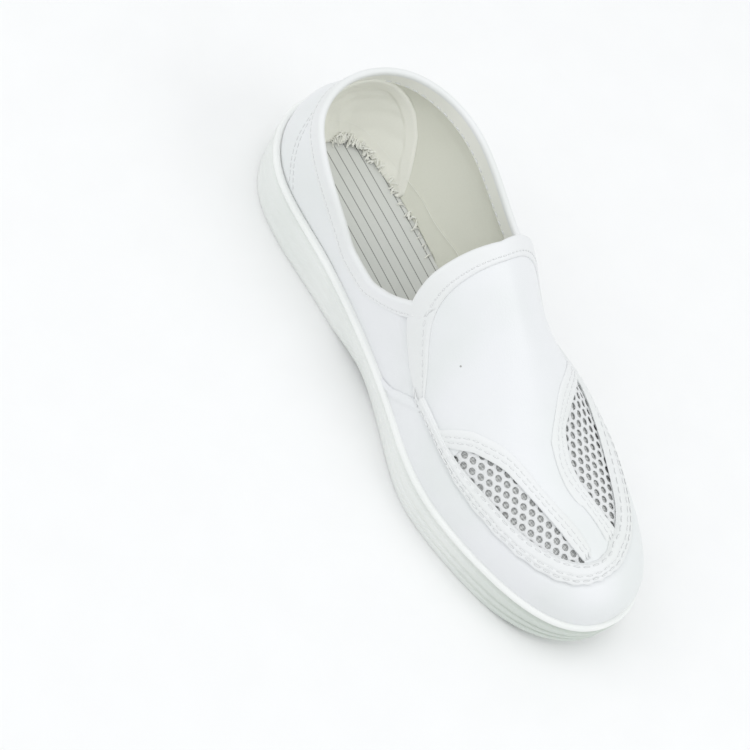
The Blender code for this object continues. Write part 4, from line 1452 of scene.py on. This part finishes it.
@dataclass
class Inside:
    """Lining, heel patch, striped insole and the loose threads round it."""

    shop: Workshop
    wall: float = 0.0018

    def build(self) -> None:
        """Make every inside piece."""
        self.make_lining()
        self.make_insole()
        self.make_threads()

    def face_point(self, degrees: np.ndarray, rise: np.ndarray, lift: float | np.ndarray) -> np.ndarray:
        """Point on the lining, whose foot curves in over the insole.

        Args:
            degrees: Angle round the sole from the toe.
            rise: Share of the way up the wall.
            lift: Distance outward from the leather's outside; minus is inward.

        Returns:
            Points of the lining.
        """
        wall = LAST.skin(degrees, rise, lift)
        level = LAST.rim(LAST.station(wall[..., 1])) - SEAT_DEPTH + GAP + INSOLE_THICKNESS
        up = np.maximum(wall[..., 2] - level, 0.0)
        free = LAST.collar_height(wall[..., 0], wall[..., 1]) - level - 0.009
        height = np.clip(free, 0.004, CUP_HEIGHT)
        reach = column_curve(CUP)(degrees) * (1 - np.clip(up / height, 0.0, 1.0)) ** 1.6
        flat = wall[..., :2] - LAST.outward(np.radians(degrees)) * reach[..., None]
        return np.concatenate([flat, (level - 0.0007 + up)[..., None]], -1)

    def make_lining(self) -> None:
        """Cloth lining of the quarters and the vamp, and the double patch at the heel."""
        start = 84.0
        columns = np.linspace(0.0, 1.0, 181)
        top = LAST.collar_rise(wrapped(start + (360.0 - 2 * start) * columns), 0.0012)

        def quarter(u: np.ndarray, v: np.ndarray) -> np.ndarray:
            """Point of the quarters' lining.

            Args:
                u: Share along.
                v: Share across.

            Returns:
                Points of its outside.
            """
            degrees = wrapped(start + (360.0 - 2 * start) * u)
            rise = 0.012 + (np.interp(u, columns, top) - 0.012) * v ** 1.25
            covered = 1 - ease((np.abs(degrees) - TAB_EDGE_ANGLE(np.clip(rise, 0.275, 1.0)) + 1.0) / 7.0)
            ripple = 0.0003 * np.sin(degrees * 0.35) * np.sin(rise * 14.0)
            return self.face_point(degrees, rise, -self.wall - 0.0017 * covered + ripple)

        self.shop.panel("quarter_lining", (260, 48), quarter, ("lining", "insole_cloth"), 0.0005,
                        scale=(0.36, 0.05))

        def front(u: np.ndarray, v: np.ndarray) -> np.ndarray:
            """Point of the vamp's lining."""
            rise = 0.01 + 0.99 * v
            return LAST.skin((2 * u - 1) * (TAB_EDGE_ANGLE(np.clip(rise, 0.275, 1.0)) - 1.5), rise, -0.0046)

        self.shop.panel("vamp_lining", (160, 44), front, ("lining", "insole_cloth"), 0.0004,
                        scale=(0.40, 0.06), merge=MERGE)
        edge, band_line = column_curve(HEEL_PATCH, 1), column_curve(HEEL_PATCH, 2)

        def patch(u: np.ndarray, v: np.ndarray) -> np.ndarray:
            """Point of the heel patch, raised along its band.

            Args:
                u: Share along.
                v: Share across.

            Returns:
                Points of its outside.
            """
            apart = (2 * u - 1) * 56.0
            top = edge(np.abs(apart))
            rise = 0.012 + (top - 0.012) * v
            band = ease((rise - band_line(np.abs(apart)) + 0.004) / 0.008)
            rim = ease((top - rise) / 0.006)
            crumple = 0.00035 * np.sin(apart * 0.31 + rise * 60.0) * np.sin(rise * 95.0)
            lift = -self.wall - 0.0004 - (0.0004 + 0.0006 * band) * rim + crumple * (1 - band)
            return self.face_point(wrapped(180.0 + apart), rise, lift)

        self.shop.panel("heel_patch", (200, 48), patch, ("heel_lining", "insole_cloth"), 0.0003,
                        scale=(0.14, 0.05))

    def insole_top(self, angle: np.ndarray, inset: np.ndarray | float) -> np.ndarray:
        """Point on the insole's upper face.

        Args:
            angle: Angle round the sole in radians.
            inset: Distance inside its edge.

        Returns:
            Points, one for each angle.
        """
        flat = LAST.plan(angle, RIM_WIDTH + GAP + UPPER_WALL + INSOLE_CLEARANCE + np.asarray(inset))
        at = LAST.station(LAST.edge(angle)[..., 1])
        return np.concatenate([flat, (LAST.rim(at) - SEAT_DEPTH + GAP + INSOLE_THICKNESS)[..., None]], -1)

    def make_insole(self) -> None:
        """Insole board, dished a little, with its dark threads."""
        toe_end, heel_end = -0.5 * SOLE_LENGTH + 0.040, 0.5 * SOLE_LENGTH - 0.036

        def place(u: np.ndarray, v: np.ndarray) -> np.ndarray:
            """Point of the board, from its edge in to its spine.

            Args:
                u: Share along.
                v: Share across.

            Returns:
                Points of its upper face.
            """
            angle = (2 * u - 1) * math.pi
            edge = self.insole_top(angle, 0.0002)
            spine_y = np.clip(-0.5 * SOLE_LENGTH * np.cos(angle), toe_end, heel_end)
            spine = np.stack([np.full_like(spine_y, LAST.shift), spine_y], -1)
            share = 1 - v
            flat = spine + (edge[:, :2] - spine) * share[:, None]
            level = LAST.rim(LAST.station(flat[:, 1])) - SEAT_DEPTH + GAP + INSOLE_THICKNESS
            dish = 0.0008 * (1 - share ** 2)
            return np.column_stack([flat, level - dish])

        form = self.shop.sheet(200, 26, place, merge=MERGE)
        bmesh.ops.recalc_face_normals(form, faces=form.faces)
        if sum(face.normal.z for face in form.faces) < 0:
            bmesh.ops.reverse_faces(form, faces=form.faces)
        board = self.shop.piece("insole_board", form, "insole", "insole_cloth", ["insole"])
        self.shop.thicken(board, 0.0028)

    def make_threads(self) -> None:
        """White fringe where the insole is sewn in, and seam threads on the lining."""
        rng = random.Random(7)
        form = bmesh.new()
        for _ in range(130):
            degrees = wrapped(np.array([rng.triangular(102, 208, 150)]))
            rise = np.array([0.012 + rng.uniform(0.0, 0.010)])
            start = self.face_point(degrees, rise, -self.wall - 0.0008)[0]
            inward = -LAST.outward(np.radians(degrees))[0]
            turn = rng.uniform(-0.9, 0.9)
            inward = np.array([inward[0] * math.cos(turn) - inward[1] * math.sin(turn),
                               inward[0] * math.sin(turn) + inward[1] * math.cos(turn)])
            side = np.array([-inward[1], inward[0]]) * rng.uniform(-0.0012, 0.0012)
            length, high = rng.uniform(0.0016, 0.0044), rng.uniform(0.0004, 0.0012)
            points = [start + np.array([*(inward * length * s + side * s * s), high * math.sin(math.pi * s)])
                      for s in (0.0, 0.35, 0.7, 1.0)]
            self.hair(form, points, rng.uniform(0.00045, 0.00095))
        seam = [self.face_point(wrapped(np.array([row[0]])), np.array([row[1]]), -self.wall - 0.0013)[0]
                for row in SEAM_THREAD]
        share = np.linspace(0.0, 1.0, len(seam))
        curves = [level_spline(share, [point[k] for point in seam]) for k in range(3)]
        fine = np.linspace(0.0, 1.0, 90)
        self.hair(form, list(np.stack([curve(fine) for curve in curves], -1)), 0.00030)
        low = wrapped(np.linspace(156.0, 188.0, 24))
        self.hair(form, list(self.face_point(low, np.full(24, 0.024), -self.wall - 0.0013)), 0.00026)
        self.shop.finish(self.shop.piece("seam_threads", form, "fringe", "insole_cloth"))

    @staticmethod
    def hair(form: bmesh.types.BMesh, points: Sequence[np.ndarray], width: float) -> None:
        """Thin four-sided thread through points, closed at both ends.

        Args:
            form: Mesh that takes the thread.
            points: The points.
            width: Thread width.
        """
        rings = []
        for i, point in enumerate(points):
            ahead = unit(np.array(points[min(i + 1, len(points) - 1)]) - np.array(points[max(i - 1, 0)]))
            turn = Vector(ahead).to_track_quat("Z", "Y").to_matrix().to_4x4()
            made = bmesh.ops.create_circle(form, segments=4, radius=width / 2,
                                           matrix=Matrix.Translation(Vector(point)) @ turn)
            rings.append(made["verts"])
        for low, high in zip(rings, rings[1:]):
            edges = {edge for vert in low + high for edge in vert.link_edges
                     if edge.other_vert(vert) in (low if vert in low else high)}
            bmesh.ops.bridge_loops(form, edges=list(edges))
        ends = {edge for vert in rings[0] + rings[-1] for edge in vert.link_edges if edge.is_boundary}
        bmesh.ops.holes_fill(form, edges=list(ends), sides=4)


@dataclass
class Outsole:
    """Moulded sole: rounded rim, groove, ribs, side wall and channelled tread."""

    shop: Workshop
    around: int = 288
    # Share of the side's height, relief in rib depths
    side: Table = (
        (0.04, 0.0), (0.12, 0.0), (0.21, 0.0), (0.235, 0.25), (0.25, 0.9), (0.27, 1.0), (0.32, 1.0),
        (0.34, 0.9), (0.355, 0.25), (0.38, 0.0), (0.45, 0.0), (0.52, 0.0), (0.545, 0.25), (0.56, 0.9),
        (0.58, 1.0), (0.62, 1.0), (0.64, 0.9), (0.655, 0.25), (0.68, 0.0), (0.80, 0.0), (0.90, 0.0),
        (0.96, 0.15),
    )
    # Share of the rim's height, inset as a share of its width
    rim: Table = (
        (0.00, 0.66), (0.04, 0.42), (0.10, 0.26), (0.20, 0.12), (0.34, 0.03), (0.50, 0.00), (0.66, 0.03),
        (0.80, 0.10), (0.90, 0.20), (0.97, 0.33), (1.00, 0.50), (1.00, 0.80), (0.98, 1.02), (0.92, 1.18),
    )

    def rings(self) -> list[np.ndarray]:
        """Draw rings from the tread's edge, up the side, over the rim, to the seat.

        Returns:
            Points of each ring.
        """
        angle = np.linspace(-math.pi, math.pi, self.around, endpoint=False)
        at = LAST.station(LAST.edge(angle)[:, 1])
        tuck, fade = LAST.tuck(at), LAST.fade(at)
        top = RIM_HEIGHT + GROOVE_HEIGHT

        def ring(inset: np.ndarray | float, level: Callable[[np.ndarray], np.ndarray]) -> np.ndarray:
            """One ring, at an inset from the rim and a level over the station."""
            flat = LAST.plan(angle, inset)
            return np.column_stack([flat, level(LAST.station(flat[:, 1]))])

        made = [ring(tuck + EDGE_CHAMFER, LAST.floor),
                ring(tuck + 0.4 * EDGE_CHAMFER, lambda s: LAST.floor(s) + 0.0003)]
        for share, relief in self.side:
            made.append(ring(tuck * (1 - share) + RIB_DEPTH * fade * relief,
                             lambda s: LAST.floor(s) + share * (LAST.rim(s) - top - LAST.floor(s))))
        for depth, share in ((0.6, 0.0), (1.0, 0.3), (1.0, 0.8)):
            made.append(ring(depth * GROOVE_DEPTH, lambda s: LAST.rim(s) - top + share * GROOVE_HEIGHT))
        for share, relief in self.rim:
            made.append(ring(RIM_WIDTH * relief, lambda s: LAST.rim(s) - RIM_HEIGHT * (1 - share)))
        made.append(ring(1.18 * RIM_WIDTH, lambda s: LAST.rim(s) - SEAT_DEPTH))
        return made

    def build(self) -> None:
        """Loft the rings, close them and cut the tread's channels."""
        rings = self.rings()
        form = bmesh.new()
        flat = form.loops.layers.uv.new("side")
        loops = []
        for ring in rings:
            made = bmesh.ops.create_circle(form, segments=self.around, radius=1.0)["verts"]
            order = sorted(made, key=lambda vert: math.atan2(vert.co.y, vert.co.x))
            for vert, point in zip(order, ring):
                vert.co = Vector(point)
            loops.append(order)
        form.verts.index_update()
        share_of = {vert.index: k / (len(loops) - 1) for k, loop in enumerate(loops) for vert in loop}
        for low, high in zip(loops, loops[1:]):
            edges = [form.edges.get(pair) for loop in (low, high) for pair in zip(loop, loop[1:] + loop[:1])]
            bmesh.ops.bridge_loops(form, edges=edges)
        for loop, up in ((loops[0], False), (loops[-1], True)):
            face = form.faces.new(loop)
            if (face.normal.z > 0) != up:
                face.normal_flip()
        bmesh.ops.recalc_face_normals(form, faces=form.faces)
        for face in form.faces:
            for loop in face.loops:
                loop[flat].uv = (0.0, share_of[loop.vert.index])
        sole = self.shop.piece("sole_unit", form, "sole", "sole", ["outsole"])
        self.cut_tread(sole)

    def cut_tread(self, sole: bpy.types.Object) -> None:
        """Cut the cross channels and keep the result as the sole's own mesh.

        Args:
            sole: The sole's object.
        """
        form = bmesh.new()
        for start, end in ((0.15, 0.45), (0.68, 0.93)):
            count = int((end - start) * SOLE_LENGTH / TREAD_PITCH)
            first = (start + end - 1.0) * 0.5 * SOLE_LENGTH - 0.5 * (count - 1) * TREAD_PITCH
            for i in range(count):
                y = first + i * TREAD_PITCH
                angle = math.acos(max(-1.0, min(1.0, -2 * y / SOLE_LENGTH)))
                low = float(LAST.edge(np.array([-angle]))[0, 0]) + TREAD_MARGIN
                high = float(LAST.edge(np.array([angle]))[0, 0]) - TREAD_MARGIN
                block = bmesh.ops.create_cube(form, size=1.0)["verts"]
                bmesh.ops.scale(form, verts=block, vec=(high - low, TREAD_WIDTH, 2 * TREAD_DEPTH))
                bmesh.ops.translate(form, verts=block, vec=((low + high) / 2, y, 0.0))
        mesh = bpy.data.meshes.new("channels")
        form.to_mesh(mesh)
        form.free()
        channels = bpy.data.objects.new("channels", mesh)
        bpy.context.scene.collection.objects.link(channels)
        cut = sole.modifiers.new("tread", "BOOLEAN")
        cut.operation, cut.solver, cut.object = "DIFFERENCE", "EXACT", channels
        graph = bpy.context.evaluated_depsgraph_get()
        done = bpy.data.meshes.new_from_object(sole.evaluated_get(graph))
        sole.modifiers.clear()
        sole.data = done
        bpy.data.objects.remove(channels)


@dataclass(frozen=True)
class Studio:
    """Camera at the photograph's angle, pale floor and soft light."""

    place: tuple[float, float, float] = (-0.6311, -0.2786, 0.9373)
    right: tuple[float, float, float] = (0.79761, -0.47750, 0.36853)
    up: tuple[float, float, float] = (0.29536, 0.84192, 0.45160)
    back: tuple[float, float, float] = (-0.52590, -0.25135, 0.81256)
    focal_pixels: float = 2600.0
    image_pixels: float = 750.0
    aim: tuple[float, float, float] = (0.0, 0.0, 0.03)
    # Name, place, size and power of each light
    lights: Sequence[tuple[str, tuple[float, float, float], float, float]] = (
        ("key", (0.5, -1.1, 1.3), 1.0, 4.2), ("fill", (-1.0, 0.7, 1.2), 1.2, 4.0),
        ("top", (0.1, 0.1, 1.9), 1.2, 4.5),
    )

    def build(self, shop: Workshop) -> None:
        """Make the camera, the floor and the lights.

        Args:
            shop: Where the floor gets its finish.
        """
        data = bpy.data.cameras.new("camera")
        data.sensor_width = 36.0
        data.lens = self.focal_pixels / self.image_pixels * data.sensor_width
        data.clip_start, data.clip_end = 0.01, 20.0
        camera = bpy.data.objects.new("camera", data)
        turn = Matrix((self.right, self.up, self.back)).transposed()
        camera.matrix_world = Matrix.Translation(self.place) @ turn.to_4x4()
        bpy.context.scene.collection.objects.link(camera)
        bpy.context.scene.camera = camera

        form = bmesh.new()
        bmesh.ops.create_grid(form, x_segments=1, y_segments=1, size=4.0)
        mesh = bpy.data.meshes.new("floor")
        form.to_mesh(mesh)
        form.free()
        floor = bpy.data.objects.new("floor", mesh)
        bpy.context.scene.collection.objects.link(floor)
        shop.finish(floor, "floor")

        world = bpy.data.worlds.new("studio")
        world.use_nodes = True
        sky = world.node_tree.nodes["Background"].inputs
        sky["Color"].default_value, sky["Strength"].default_value = (0.97, 0.99, 1.0, 1.0), 0.80
        bpy.context.scene.world = world
        for name, spot, size, power in self.lights:
            light = bpy.data.lights.new(name, "AREA")
            light.size, light.energy = size, power
            lamp = bpy.data.objects.new(name, light)
            aim = Vector(self.aim) - Vector(spot)
            lamp.matrix_world = Matrix.Translation(spot) @ aim.to_track_quat("-Z", "Y").to_matrix().to_4x4()
            bpy.context.scene.collection.objects.link(lamp)
        bpy.context.scene.view_settings.view_transform = "Standard"


def main() -> None:
    """Build the finishes, the shoe and the studio."""
    speck = tuple(LAST.skin(np.array([SPECK[0]]), np.array([SPECK[1]]))[0])
    shop = Workshop({
        "leather": CoatedLeather().material("white_leather_skin"),
        "vamp_leather": CoatedLeather(speck=speck).material("white_vamp_leather"),
        "trim": CoatedLeather((0.835, 0.842, 0.850), (0.800, 0.815, 0.805), 0.46).material("white_trim"),
        "sole": SoleRubber().material("sole_rubber"),
        "knit": Cloth((0.86, 0.865, 0.87), (0.70, 0.71, 0.71), Weave.KNIT).material("white_knit"),
        # Backing behind the knit: its grey is painted shade in the holes, over a layer that is really white
        "window_backing": Cloth((0.74, 0.75, 0.74), (0.40, 0.405, 0.40), Weave.BACKING,
                                0.0012).material("painted_shade_backing"),
        "lining": Cloth((0.73, 0.735, 0.655), (0.69, 0.695, 0.61), Weave.LINING,
                        0.0006).material("ivory_lining"),
        "heel_lining": Cloth((0.88, 0.88, 0.81), (0.84, 0.84, 0.77), Weave.LINING,
                             0.0006).material("pale_lining"),
        # Inner band: the lining's ivory painted lighter, as painted light for its shaded inward face
        "inner_band": CoatedLeather((0.90, 0.90, 0.85), (0.86, 0.865, 0.81), 0.5).material("ivory_band_painted_light"),
        "fringe": Plain((0.90, 0.90, 0.85), 0.8).material("ivory_fringe"),
        "insole": StripedBoard().material("striped_insole"),
        "thread": Plain((0.84, 0.85, 0.85), 0.6).material("white_thread"),
        "stitch_shadow": Plain((0.58, 0.59, 0.59), 0.8).material("stitch_painted_shadow"),
        "floor": Plain((0.93, 0.93, 0.93), 0.75, 40.0, 0.00002).material("pale_floor"),
    })
    Outsole(shop).build()
    Inside(shop).build()
    Windows(shop).build()
    Upper(shop).build()
    Studio().build(shop)


if __name__ == "__main__":
    main()
